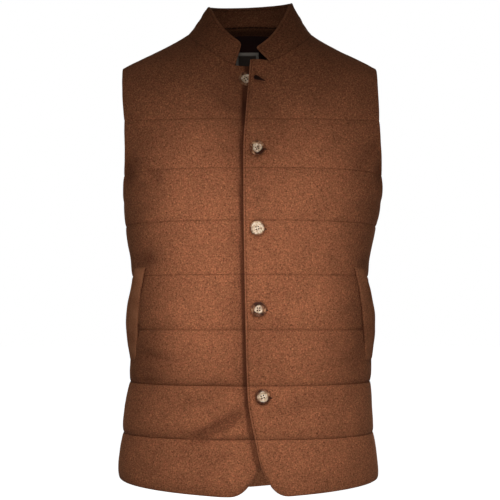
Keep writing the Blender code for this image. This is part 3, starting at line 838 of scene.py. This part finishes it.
def padded(grid, seed):  # depth below the fullest form: a row is full between its lines and sinks towards its foot
    line, share, peak = grid.line, grid.share, quilting["sagPeak"]
    between = np.maximum(1 - np.abs(2 * share - 1) ** quilting["fullness"], 0) ** 0.5
    above = np.minimum(np.sqrt(share / 0.2), 1) * mix(quilting["seamPuff"], 1, smooth(0, 0.15, 1 - share))
    rise = np.where(line < topLine, between, above)[None, :] * np.ones_like(grid.across)
    rise = rise * mix(quilting["sidePuff"], 1, np.sqrt(np.clip(grid.toSide / 0.016, 0, 1)))
    foot = np.maximum(1 - (1 - np.minimum(share / peak, 1)) ** 2, 0) ** 0.8
    head = 1 - np.maximum((share - peak) / (1 - peak), 0) ** 2
    sag = np.array(quilting["sag"][grid.which])[line] * foot * head
    sag = sag[None, :] * smooth(0.002, 0.085, grid.toSide)
    if not grid.isBack:
        rise = rise * np.sqrt(np.clip(grid.toFirst / 0.006, 0.30, 1))
        sag = sag * mix(0.3, 1, smooth(0, 0.012, grid.toFirst))
    full = np.array(quilting["loft"])[line]
    depth = quilting["puff"] * (1 - full * rise) - sag + quilting["groove"] * bell(grid.nearLine, 0.0012)
    pucker = unevenness(grid.across, grid.up * 0.35 + grid.lineOf[None, :], 0.017, seed)
    loft = unevenness(grid.across, grid.up, 0.060, seed + 1) * 0.5
    loft = loft + unevenness(grid.across, grid.up, 0.024, seed + 2) * 0.22
    depth = depth + 0.00030 * pucker * bell(grid.nearLine - 0.004, 0.006)
    return depth - 0.00055 * loft * np.clip(grid.nearLine / 0.012, 0, 1)


def crease(grid, seed):  # the folds and hollows with painted shade inside them, and painted shade on the rows where they overhang a line
    folds = creased(grid.form, creases[grid.which], seed) * np.clip(grid.toSide / 0.012, 0.25, 1)
    grid.depth = grid.depth + folds
    grid.shade = 0.46 * np.clip(folds / 0.0036, 0, 1)
    for x, z, wide, high, deep, dark in hollows[grid.which]:
        spot = np.exp(-((grid.x - x) / wide) ** 2 - ((grid.z - z) / high) ** 2)
        grid.depth = grid.depth + deep * spot * np.clip(grid.toSide / 0.006, 0.2, 1)
        grid.shade = np.maximum(grid.shade, dark * spot)
    # painted shade above each stitch line, under a row's sagging foot
    foot = np.array(quilting["sag"][grid.which])[grid.line] / 0.0056 * (grid.share < 0.5)
    foot = (quilting["footShade"] * foot)[None, :] * bell(grid.nearest, quilting["footWidth"])
    grid.shade = np.maximum(grid.shade, foot * smooth(0.0, 0.05, grid.toSide))


def finishEdge(grid, seed):  # the left front's edge stitching, and the cloth its buttons press flat
    stitch = closure["stitch"] + closure["stitchWave"] * unevenness(grid.up, grid.up * 0, 0.09, seed)
    stitch = bell(grid.toFirst - stitch, closure["stitchWidth"])
    grid.depth = grid.depth + closure["stitchDepth"] * stitch
    grid.stitched = np.maximum(grid.stitched, 0.8 * stitch)
    near, far, dark = button["contact"]
    for x, z, _, seat in button["places"][1:]:
        under = 1 - smooth(*button["pressed"], np.hypot(grid.x - x, grid.z - z))
        grid.depth = mix(grid.depth, np.maximum(grid.depth, seat + 2 * button["lift"]), under)
        # painted shade on the cloth round each button, a little below it
        contact = np.hypot(grid.x - x, grid.z - z + button["contactDrop"])
        grid.shade = np.maximum(grid.shade, dark * (1 - smooth(near, far, contact)))


def tuckUnder(grid):  # the right front sinks where the left one's edge lies on it, with painted shade beside that edge
    beside = grid.x - leftEdge(grid.z)
    below = 1 - smooth(*closure["gullyTop"], grid.z)
    low = 1 - smooth(*closure["hemTurn"], grid.z)
    high = smooth(*closure["neckTurn"], grid.z)
    gully = bell(beside + 0.0020, mix(*closure["gullyWidth"], low))
    grid.tuck = tuckOf(grid.form) + mix(*closure["gully"], low) * gully * below
    atNeck, between, atHem = closure["shadeStart"]
    start = mix(mix(between, atHem, low), atNeck, high)
    deep = smooth(start, start + closure["shadeRun"], beside) * mix(0.85, 1, below)
    deep = np.maximum(deep, closure["softShade"] * bell(beside + 0.004, 0.016) * (1 - low))
    grid.shade = np.maximum(grid.shade, mix(*closure["shade"], high) * deep * (1 - 0.3 * low))


def panel(name, which, seed):  # one quilted panel: wool outside, lining inside with a facing along its open edges
    grid = panelGrid(which)
    grid.depth = padded(grid, seed)
    grid.tuck = np.zeros_like(grid.depth)
    faint = np.array(quilting["thread"])[grid.lineOf][None, :]
    grid.stitched = 0.5 * faint * bell(grid.nearLine, 0.00045)
    crease(grid, seed + 10)
    # edges painted lighter: partly rubbed nap, partly painted highlight
    rubAndHighlight = wearAndHighlight["edge"] * np.maximum(
        bell(grid.toHem, wearAndHighlight["edgeWidth"]), grid.inArmhole * bell(grid.toLast, wearAndHighlight["edgeWidth"]))
    if which == "left":
        finishEdge(grid, seed + 5)
        amount = mix(*wearAndHighlight["front"], smooth(*wearAndHighlight["frontTurn"], grid.z))
        rubAndHighlight = np.maximum(rubAndHighlight, amount * bell(grid.toFirst, wearAndHighlight["frontWidth"]))
    if which == "right":
        tuckUnder(grid)
    rubAndHighlight = rubAndHighlight * (0.8 + 0.4 * unevenness(grid.across, grid.up, wearAndHighlight["patch"], seed + 7))

    seams = bell(grid.toTop, cloth["seamWidth"])
    seams = np.maximum(seams, bell(grid.toSide, cloth["seamWidth"]) * (1 - grid.inArmhole))
    stitched = np.maximum(grid.stitched, 0.6 * seams)
    edge, seam = cloth["edgeRadius"], cloth["seamRadius"]
    sideRadius = mix(seam, edge, grid.inArmhole)
    soft = rounded(grid.toHem, edge) * rounded(grid.toLast, sideRadius) * rounded(grid.toTop, seam)
    soft = soft * rounded(grid.toFirst, sideRadius if grid.isBack else edge)
    depth = np.clip(grid.depth, cloth["fullest"], cloth["flattest"])
    lowest = quilting["puff"] + quilting["wall"]
    middle, half = (depth + lowest) / 2, (lowest - depth) / 2
    normal = facingOf(grid.form, which)
    outer = swayed(grid.form - normal * (middle - soft * half + grid.tuck)[..., None])
    inner = swayed(grid.form - normal * (middle + soft * half + grid.tuck)[..., None])

    def finishAt(i, j):
        isNear = grid.toHem[i, j] < facingWidth["hem"] or grid.toTop[i, j] < facingWidth["top"]
        isNear = isNear or (grid.inArmhole[i, j] > 0.5 and grid.toSide[i, j] < facingWidth["armhole"])
        isNear = isNear or (not grid.isBack and grid.toFirst[i, j] < facingWidth["front"])
        return 1 if isNear else 2

    marks = {"stitched": stitched, "shade": grid.shade, "wornAndHighlit": np.clip(rubAndHighlight, 0, 1)}
    shape = clothWall(outer, inner, finishAt, marks)
    made = finishPiece(name, shape, (wool, facingWoolPaintedLighter, lining), replaced=(nodeOf[which],))
    print(name, len(made.data.polygons), "faces")
    return made, outer


nodeOf = {"left": "front_left", "right": "front_right", "back": "back"}
leftFront, leftSurface = panel("shell_front_left", "left", 11)
rightFront, _ = panel("shell_front_right", "right", 37)
backPanel, _ = panel("shell_back", "back", 71)


def neckPlace(panelName, u, depth):
    points = formRow(panelName, np.abs(u), float(topRow)) * mirrored(u)
    points = points - facingOf(points, panelName) * depth
    if panelName == "right":
        points = points - facing(points, "front") * tuckOf(points)[:, None]
    return swayed(points)


def collarRim(share):
    side = 1 if share > 0 else -1
    end = math.pi - math.asin(collarCut["topEnd"][side] / collarCut["topHalf"])
    turn = abs(share) * end
    across, along = math.sin(turn), math.cos(turn)
    if along > 0:
        y = mix(collarCut["topSideY"], collarCut["topBackY"], along)
        z = mix(collarCut["topSideZ"], collarCut["topBackZ"], along)
    else:
        y = mix(collarCut["topSideY"], collarCut["topFrontY"], -along)
        z = mix(collarCut["topEndZ"][side], collarCut["topSideZ"], across ** collarCut["power"])
    z = z - collarCut["sideRounding"] * across ** collarCut["sidePower"]
    return np.array([side * collarCut["topHalf"] * across, y, z + side * collarCut["tilt"] * across])


def collarSeams(shares):  # the neck seam on the panels, outside and inside, from one end of the collar to the other
    seams = []
    for share in shares:
        beyond = (abs(share) - collarCut["behind"]) / (1 - collarCut["behind"])
        if beyond <= 0:
            name, u = "back", share / collarCut["behind"] * neckCut["neckShare"]
        else:
            name = "left" if share > 0 else "right"
            u = mix(neckCut["neckShare"], neckCut["collarShare"], beyond)
        depths = (collarCut["sink"], collarCut["sink"] + collarCut["wall"])
        seams.append([neckPlace(name, np.array([u]), depth)[0] for depth in depths])
    seams = np.array(seams)
    return seams[:, 0], seams[:, 1]


def collarFaces(shares, heights):
    outerSeam, innerSeam = collarSeams(shares)
    rims = np.array([collarRim(share) for share in shares])
    over = np.cross(np.gradient(outerSeam, axis=0), outerSeam - innerSeam)
    over /= np.linalg.norm(over, axis=-1, keepdims=True)
    over *= np.sign(np.sum(over * (rims - outerSeam), axis=-1))[:, None]
    sewnIn = over * collarCut["sewnIn"]
    centreY = mix(collarCut["topFrontY"], collarCut["topBackY"], 0.5)
    fromEnd = np.minimum(arcs(rims, 0), arcs(rims, 0)[-1] - arcs(rims, 0))
    corner = collarCut["cornerRadius"]
    cut = corner - np.sqrt(np.maximum(corner ** 2 - np.maximum(corner - fromEnd, 0) ** 2, 0))
    outer = np.zeros((len(shares), len(heights), 3))
    inner = np.zeros_like(outer)
    for i, share in enumerate(shares):
        inward = np.array([0, centreY, rims[i][2]]) - rims[i]
        inward /= np.linalg.norm(inward)
        cornerShare = max(abs(share) - collarCut["cornerFrom"], 0) / (1 - collarCut["cornerFrom"])
        for j, height in enumerate(heights):
            height = height * (1 - collarCut["corner"] * cornerShare ** 2 - cut[i] / collarCut["cornerHeight"])
            sag = inward * (collarCut["sag"] * 4 * height * (1 - height))
            outer[i, j] = mix(outerSeam[i] + sewnIn[i], rims[i], height) + sag
            inner[i, j] = mix(innerSeam[i] + sewnIn[i], rims[i] + inward * collarCut["wall"], height) + sag
    return outer, inner


def makeCollar():
    ends = (0, 0.0018, 0.0040, 0.0070, 0.0105, 0.0145, 0.019, 0.025, 0.033, 0.044)
    shares = np.concatenate([ends, np.arange(0.06, 1.0 - 0.0001, 0.0155), [1.0]])
    shares = np.concatenate([-(1 - shares[:-1]), [0], (1 - shares[:-1])[::-1]])
    heights = np.concatenate([
        [0, 0.006, 0.016, 0.03], np.arange(0.055, 0.24, 0.028), np.arange(0.25, 0.36, 0.011),
        np.arange(0.38, 0.85, 0.028), np.arange(0.86, 0.94, 0.011), [0.95, 0.964, 0.978, 0.99, 1.0]])
    outer, inner = collarFaces(shares, heights)
    across, up = arcs(outer, 0), arcs(outer, 1)
    toTop = up[:, -1:] - up
    toEnds = np.minimum(across, across[-1:] - across)
    fromSeam = up - collarCut["seamLine"] * up[:, -1:]
    through = outer - inner
    direction = through / np.linalg.norm(through, axis=-1, keepdims=True)
    radius, stitchAt = collarCut["edgeRadius"], collarCut["stitch"]
    soft = rounded(toTop, radius) * rounded(toEnds, radius) * rounded(up, 0.0006)
    loft = 0.00050 * unevenness(across, up, 0.040, 5) + 0.00028 * unevenness(across, up, 0.017, 6)
    middle = (outer + inner) / 2 + direction * (loft * np.clip(up / 0.006, 0, 1))[..., None]
    stitch = 0.00022 * (bell(toTop - stitchAt, 0.0006) + bell(toEnds - stitchAt, 0.0006))
    lowerBand = 0.0006 * (1 - smooth(-0.0005, 0.0005, fromSeam)) * np.clip(up / 0.003, 0, 1)
    relief = direction * (0.0011 * bell(fromSeam, 0.0011) + lowerBand)[..., None]
    outer = middle + through / 2 * soft[..., None] - direction * stitch[..., None]
    inner = middle - through / 2 * soft[..., None] + relief
    size = np.abs(shares)[:, None]
    toOpening = np.where(size > 0.62, np.minimum(toTop, toEnds), toEnds)
    # the collar's open edges painted lighter: partly rubbed nap, partly painted highlight
    rubAndHighlight = wearAndHighlight["collar"] * bell(toOpening, wearAndHighlight["collarWidth"]) * (0.8 + 0.4 * unevenness(across, up, wearAndHighlight["patch"], 8))
    edgeLine = 0.35 * bell(np.minimum(toTop, toEnds) - stitchAt, 0.0005)
    marks = {
        "stitched": np.maximum(edgeLine, 0.6 * bell(up, 0.0010)),
        # painted shade along the top edge of the collar's back half
        "shade": 0.30 * (1 - smooth(0.0005, 0.0022, toTop)) * (size < 0.5),
        "wornAndHighlit": np.clip(rubAndHighlight, 0, 1),
    }
    marksInside = {
        "stitched": np.maximum(bell(fromSeam, 0.0011), 0.8 * bell(toTop - stitchAt, 0.0005)),
        # painted shade low on the inside, in the neck's own shadow
        "shade": mix(collarCut["bandShade"], 0.0, smooth(0.12, 0.48, up / up[:, -1:])),
    }
    shape = clothWall(outer, inner, lambda i, j: 1, marks, marksInside)
    return finishPiece("stand_collar", shape, (wool, facingWoolPaintedLighter), replaced=("collar",))


standCollar = makeCollar()
print("collar made")

welt = {
    "topZ": -0.346,
    "footZ": -0.483,
    "turn": (math.radians(53.6), math.radians(63.0)),
    "curve": 2.2,
    "width": math.radians(10.3),
    "wall": 0.0026,
    "gape": 0.0094,
    "droop": 1.1,
    "lift": 0.0006,
    "stitch": 0.0050,
    "seamShade": 0.55,  # the inner line of the welt lies in its own shade
}


def makeWelt(name, node, side, seed):
    across = np.concatenate([[0, 0.015, 0.04, 0.075], np.linspace(0.12, 0.90, 14), [0.93, 0.955, 0.975, 0.99, 1.0]])
    down = np.concatenate([
        [0, 0.003, 0.008, 0.015, 0.024], np.linspace(0.036, 0.964, 64), [0.976, 0.985, 0.992, 0.997, 1.0]])
    z = mix(welt["topZ"], welt["footZ"], down)[None, :] + 0 * across[:, None]
    seam = mix(*welt["turn"], 1 - (1 - down) ** welt["curve"])
    form = around(seam[None, :] + welt["width"] * across[:, None], z)
    normal = facing(form, "front")
    gape = welt["gape"] * np.sin(math.pi * down ** welt["droop"])[None, :] * across[:, None] ** 1.2
    acrossArc, downArc = arcs(form, 0), arcs(form, 1)
    toFree = acrossArc[-1:] - acrossArc
    toEnds = np.minimum(downArc, downArc[:, -1:] - downArc)
    sunk = 0.0020 * bell(acrossArc, 0.0022) + 0.0016 * bell(toEnds, 0.0020)
    stitch = 0.0002 * bell(toFree - welt["stitch"], 0.0006)
    loft = 0.0004 * unevenness(acrossArc, downArc, 0.030, seed)
    soft = rounded(toFree, 0.0015) * rounded(toEnds, 0.0012) * rounded(acrossArc, 0.0008)
    middle = welt["lift"] + gape + welt["wall"] / 2 + loft - sunk / 2
    half = (welt["wall"] - sunk) / 2 * soft
    outer = form + normal * (middle + half - stitch)[..., None]
    inner = form + normal * (middle - half)[..., None]
    flip = np.array([side, 1, 1])
    # the welt painted lighter across its face: partly rubbed nap, partly painted highlight
    rubAndHighlight = wearAndHighlight["welt"][side] * smooth(0.0008, 0.0030, acrossArc)
    rubAndHighlight = rubAndHighlight * (0.85 + 0.3 * unevenness(acrossArc, downArc, wearAndHighlight["patch"], seed + 1))
    shape = clothWall(swayed(outer * flip), swayed(inner * flip), marks={
        "stitched": np.maximum(0.4 * bell(toFree - welt["stitch"], 0.0005), 0.9 * bell(acrossArc, 0.0009)),
        "shade": welt["seamShade"] * (1 - smooth(0.0006, 0.0022, acrossArc)),
        "wornAndHighlit": np.clip(rubAndHighlight, 0, 1),
    })
    return finishPiece(name, shape, (wool,), replaced=(node,))


leftWelt = makeWelt("welt_left", "pocket_welt_left", 1, 81)
rightWelt = makeWelt("welt_right", "pocket_welt_right", -1, 82)
print("pocket welts made")


def onFront(x, z):  # one point of the smooth front and its outward normal
    point = onFace(np.array([x]), np.array([z]), "front")
    return Vector(point[0]), Vector(facing(point, "front")[0])


def seatOf(x, z, depth):
    point, normal = onFront(x, z)
    across = Vector((0, 0, 1)).cross(normal).normalized()
    turned = Matrix((across, normal.cross(across), normal)).transposed()
    return Matrix.Translation(point - normal * depth) @ turned.to_4x4()


def addRod(shape, radius, length, matrix, segments, foot=None):
    return bmesh.ops.create_cone(
        shape, cap_ends=True, segments=segments, radius1=foot or radius, radius2=radius, depth=length, matrix=matrix)


def spinDisc(profile, steps):
    shape = bmesh.new()
    corners = [shape.verts.new((r / 1000, 0, h / 1000)) for r, h in profile]
    edges = [shape.edges.new(pair) for pair in zip(corners, corners[1:])]
    bmesh.ops.spin(
        shape, geom=corners + edges, axis=(0, 0, 1), cent=(0, 0, 0), angle=math.tau, steps=steps, use_merge=True)
    bmesh.ops.remove_doubles(shape, verts=shape.verts, dist=1e-6)
    bmesh.ops.recalc_face_normals(shape, faces=shape.faces)
    return shape


def makeButton(number, place):
    disc = objectOf("disc", spinDisc(button["profile"], 56))
    holes = bmesh.new()
    for ax in (-1, 1):
        for ay in (-1, 1):
            spot = Matrix.Translation((ax * button["holeSpread"], ay * button["holeSpread"], 0))
            addRod(holes, button["holeRadius"], 0.02, spot, 16)
    cutter = objectOf("cutter", holes)
    cut = disc.modifiers.new("holes", "BOOLEAN")
    cut.operation = "DIFFERENCE"
    cut.object = cutter
    done = bpy.data.meshes.new_from_object(disc.evaluated_get(bpy.context.evaluated_depsgraph_get()))
    for each in (disc, cutter):
        bpy.data.objects.remove(each)
    shape = bmesh.new()
    shape.from_mesh(done)
    bpy.data.meshes.remove(done)
    bowl = shape.verts.layers.float.new("bowl")
    for corner in shape.verts:
        x, y, height = corner.co
        edge = button["bowls"][number - 1] + button["bowlWave"] * math.sin(3 * math.atan2(y, x) + number)
        inBowl = float(1 - smooth(edge, edge + button["bowlEdge"], math.hypot(x, y)))
        corner[bowl] = inBowl if height > 0.001 else 0.0
    shape.transform(place)
    made = finishPiece(f"horn_button_{number}", shape, (horn,), replaced=(f"button_{number}",))
    made.data.set_sharp_from_angle(angle=math.radians(38))


def makeThread(number, place):  # two stitches across the holes and a shank under the button, all in one thread
    shape = bmesh.new()
    spread, radius = button["holeSpread"], button["thread"]
    for ax in (-1, 1):
        for strand in (-0.9, 0.9):
            at = Matrix.Translation((ax * spread + strand * radius, 0, 0.0020)) @ Matrix.Rotation(math.pi / 2, 4, "X")
            for corner in addRod(shape, radius, 2 * spread + 0.0009, at, 8)["verts"]:
                corner.co.z -= 0.9 * max(abs(corner.co.y) - spread * 0.75, 0)
    addRod(shape, 0.0017, 0.0016, Matrix.Translation((0, 0, -0.0007)), 16, foot=0.0021)
    shape.transform(place)
    finishPiece(f"button_thread_{number}", shape, (brownThread,))


buttonhole = {
    "eyelet": 0.0021,
    "length": 0.0140,
    "slit": 0.0007,
    "bead": 0.00055,
    "slope": -8,
    "open": {"x": 0.0088, "drop": 0.0005, "slope": -24, "gape": 3.4},  # the top one has no button in it
}


def surfaceLift(x, z):  # how deep the left front's finished surface lies below the full form near a place
    flat = np.hypot(leftSurface[..., 0] - x, leftSurface[..., 2] - z)
    nearest = leftSurface[np.unravel_index(np.argmin(flat), flat.shape)]
    return nearest[1] - onFront(nearest[0], nearest[2])[0].y


def keyhole(gape):  # outline of the hole: a round eyelet, then two nearly straight sides to the far end
    length, slit = buttonhole["length"], buttonhole["slit"] * gape
    radius = max(buttonhole["eyelet"], slit * 1.25)
    start = math.asin(min(slit / radius, 0.95))
    turns = np.linspace(start, math.tau - start, 26)
    outline = [(radius * math.cos(t), radius * math.sin(t)) for t in turns]
    xs = np.linspace(radius * math.cos(start), length, 13)[1:]
    taper = 3 if gape == 1 else 0.8  # a hole with no button in it gapes like a wedge
    lower = [(x, -slit * (1 - ((x - xs[0]) / (length - xs[0])) ** taper) - 0.0001) for x in xs]
    upper = [(x, -y) for x, y in reversed(lower)]
    return outline + lower + upper[1:]


def makeTube(points, radius):  # a closed bead of thread through the points
    shape = bmesh.new()
    count, rings = len(points), []
    for k, point in enumerate(points):
        ahead = (points[(k + 1) % count] - points[k - 1]).normalized()
        normal = Vector(facing(np.array([point]), "front")[0])
        sideways = ahead.cross(normal).normalized()
        wave = 1 + 0.18 * math.sin(k * 2.4)
        axes = Matrix((sideways * wave, normal * wave, ahead)).transposed().to_4x4()
        ring = bmesh.ops.create_circle(shape, segments=8, radius=radius)["verts"]
        bmesh.ops.transform(shape, matrix=Matrix.Translation(point + normal * 0.0001) @ axes, verts=ring)
        rings.append(ring)
    for k in range(count):
        edges = []
        for ring in (rings[k], rings[(k + 1) % count]):
            members = set(ring)
            touching = {edge for corner in ring for edge in corner.link_edges}
            edges += [edge for edge in touching if edge.verts[0] in members and edge.verts[1] in members]
        bmesh.ops.bridge_loops(shape, edges=edges)
    bmesh.ops.recalc_face_normals(shape, faces=shape.faces)
    return shape


def makeButtonhole(number, x, z, slope, gape):
    turn = math.radians(slope)
    points = []
    for a, b in keyhole(gape):
        px = x + a * math.cos(turn) - b * math.sin(turn)
        pz = z + a * math.sin(turn) + b * math.cos(turn)
        points.append(Vector((px, onFront(px, pz)[0].y + surfaceLift(px, pz), pz)))
    rim = makeTube(points, buttonhole["bead"])
    finishPiece(f"buttonhole_{number}", rim, (brownThread,))
    centre = sum(points, Vector()) / len(points)
    normal = Vector(facing(np.array([centre]), "front")[0])
    # a dark sheet just under the buttonhole's outline: painted shade in the hole
    shadeSheet = bmesh.new()
    face = shadeSheet.faces.new([shadeSheet.verts.new(point + normal * 0.00025) for point in points])
    lowered = bmesh.ops.extrude_face_region(shadeSheet, geom=[face])
    for corner in lowered["geom"]:
        if isinstance(corner, bmesh.types.BMVert):
            corner.co -= normal * 0.0008
    bmesh.ops.recalc_face_normals(shadeSheet, faces=shadeSheet.faces)
    finishPiece(f"buttonhole_painted_shade_{number}", shadeSheet, (holeShade,))


for number, (x, z, turn, depth) in enumerate(button["places"], 1):
    place = seatOf(x, z, depth - button["lift"]) @ Matrix.Rotation(math.radians(turn), 4, "Z")
    makeButton(number, place)
    makeThread(number, place)
    if number == 1:
        hole = buttonhole["open"]
        makeButtonhole(number, hole["x"], z - hole["drop"], hole["slope"], hole["gape"])
    else:
        makeButtonhole(number, x, z, buttonhole["slope"], 1.0)
print("buttons and buttonholes made")

inside = {
    "lining": 0.0008,
    "liningGap": 0.0007,
    "labelX": (-0.0225, 0.0138),
    "labelZ": (-0.0068, -0.0400),
    "labelSize": (0.036, 0.033),
    "label": 0.0008,
    "labelLift": 0.0009,
    "labelBorder": (0.0036, 0.0046),
}


def makeLining():
    rows = np.concatenate([np.arange(0.5, topLine, 1 / 12), np.linspace(topLine, topRow, 22)])
    form = formGrid("back", stopsBetween(cloth["panelAcross"], (0,), (0, 0.0006, 0.0014), 0.0060), rows)
    normal = facing(form, "back")
    across, up = arcs(form, 0), arcs(form, 1)
    edge = np.clip(np.minimum(np.minimum(across, across[-1:] - across), up[:, -1:] - up) / 0.02, 0, 1)
    ripple = 0.0009 + 0.0006 * unevenness(across, up, 0.035, 91) + 0.0003 * unevenness(across, up * 0.3, 0.014, 92)
    depth = quilting["puff"] + quilting["wall"] + inside["liningGap"] + edge * ripple
    outer = swayed(form - normal * depth[..., None])
    inner = swayed(form - normal * (depth + inside["lining"])[..., None])
    return finishPiece("lining_back", clothWall(outer, inner), (lining,), replaced=("back_lining",))


def makeLabel():
    across, down = np.linspace(0, 1, 22), np.linspace(0, 1, 20)
    x = mix(*inside["labelX"], across)[:, None] + 0 * down[None, :]
    z = mix(*inside["labelZ"], down)[None, :] + 0 * across[:, None]
    form = onFace(x, z, "back")
    normal = facing(form, "back")
    bulge = 0.0010 * np.sin(math.pi * across)[:, None] * np.sin(math.pi * down)[None, :] ** 0.5 + 0.0006
    wide, high = inside["labelSize"]
    toEdge = np.minimum(np.minimum(across, 1 - across)[:, None] * wide, np.minimum(down, 1 - down)[None, :] * high)
    behind = quilting["puff"] + quilting["wall"] + inside["liningGap"] + inside["lining"] + inside["labelLift"]
    middle = behind + bulge + inside["label"] / 2
    half = rounded(toEdge, 0.0006) * inside["label"] / 2
    outer = form - normal * (middle - half)[..., None]
    inner = form - normal * (middle + half)[..., None]
    border = {"stitched": 1 - smooth(*inside["labelBorder"], toEdge)}
    shape = clothWall(outer, inner, marks=border, marksInside=border)
    return finishPiece("label_neck", shape, (labelCloth,), replaced=("neck_label",))


backLining = makeLining()
label = makeLabel()
print("lining and label made")

studio = {
    "camera": (0, -2.2, -0.379),
    "tilt": 91.5625,
    "lens": 105.6,
    "sensor": 36,
    "floorZ": -1.05,
    "floorSize": 15,
    "ambient": 0.08,
    "spots": {  # place, aim, cone in degrees, its width and height, power, soft radius
        "left": ((0, -2.2, -0.60), (-0.080, 0, -0.300), 7, (0.89, 1.75), 158, 0.05),
        "right": ((0, -2.2, -0.60), (0.084, 0, -0.300), 7, (0.86, 1.75), 142, 0.05),
        "middle": ((0, -2.2, -0.60), (0, 0, -0.270), 7, (1.3, 1.7), 40, 0.15),
        "shoulders": ((0, -2.2, -0.30), (0, 0, -0.125), 7, (2.6, 1.16), 60, 0.12),
        "lower rows": ((0, -2.2, -0.60), (0.012, 0, -0.64), 8, (2.2, 0.90), 114, 0.15),
        "left shoulder": ((-1.1, -1.9, -0.10), (-0.186, 0.02, -0.120), 5.0, (1, 1.4), 62, 0.12),
        "right shoulder": ((1.1, -1.9, -0.10), (0.186, 0.02, -0.120), 5.0, (1, 1.4), 64, 0.12),
        "above": ((0, -2.0, 0.70), (0.02, 0, -0.63), 8, (2.2, 1.05), 186, 0.15),
    },
    "rear": ((0.5, 2.3, 0.25), (0, 0, -0.36), 1.0, 28),  # place, aim, size, power: it lights the back
}

cameraData = bpy.data.cameras.new("camera")
cameraData.lens = studio["lens"]
cameraData.sensor_width = studio["sensor"]
camera = bpy.data.objects.new("camera", cameraData)
bpy.context.collection.objects.link(camera)
camera.location = studio["camera"]
camera.rotation_euler = (math.radians(studio["tilt"]), 0, 0)
bpy.context.scene.camera = camera


def makeLight(name, kind, at, aim, power):
    lamp = bpy.data.lights.new(name, kind)
    lamp.energy = power
    light = bpy.data.objects.new(name, lamp)
    bpy.context.collection.objects.link(light)
    light.location = at
    light.rotation_euler = (Vector(aim) - Vector(at)).to_track_quat("-Z", "Y").to_euler()
    light.visible_camera = False
    return light


for name, (at, aim, cone, spread, power, radius) in studio["spots"].items():
    light = makeLight(name, "SPOT", at, aim, power)
    light.scale = (*spread, 1)
    light.data.spot_size = math.radians(cone)
    light.data.spot_blend = 1.0
    light.data.shadow_soft_size = radius
at, aim, size, power = studio["rear"]
makeLight("rear", "AREA", at, aim, power).data.size = size

world = bpy.data.worlds.new("studio")  # white behind the object, dim on it, as in a studio with dark walls
world.use_nodes = True
white = (1, 1, 1, 1)
backdrop = world.node_tree.nodes["Background"]
feed(world, backdrop.inputs[0], white)
feed(world, backdrop.inputs[1], 1.0)
ambient = addNode(world, "ShaderNodeBackground", ((0, white), (1, studio["ambient"]))).outputs[0]
seen = addNode(world, "ShaderNodeLightPath").outputs["Is Camera Ray"]
sky = addNode(world, "ShaderNodeMixShader", ((0, seen), (1, ambient), (2, backdrop.outputs[0]))).outputs[0]
feed(world, world.node_tree.nodes["World Output"].inputs[0], sky)
bpy.context.scene.world = world
bpy.context.scene.view_settings.view_transform = "Standard"

floorShape = bmesh.new()
floorPlace = Matrix.Translation((0, 0, studio["floorZ"]))
bmesh.ops.create_grid(floorShape, x_segments=8, y_segments=8, size=studio["floorSize"], matrix=floorPlace)
floor = objectOf("floor", floorShape)
floor.data.materials.append(paintedFloor("white studio paint"))
print("studio set")
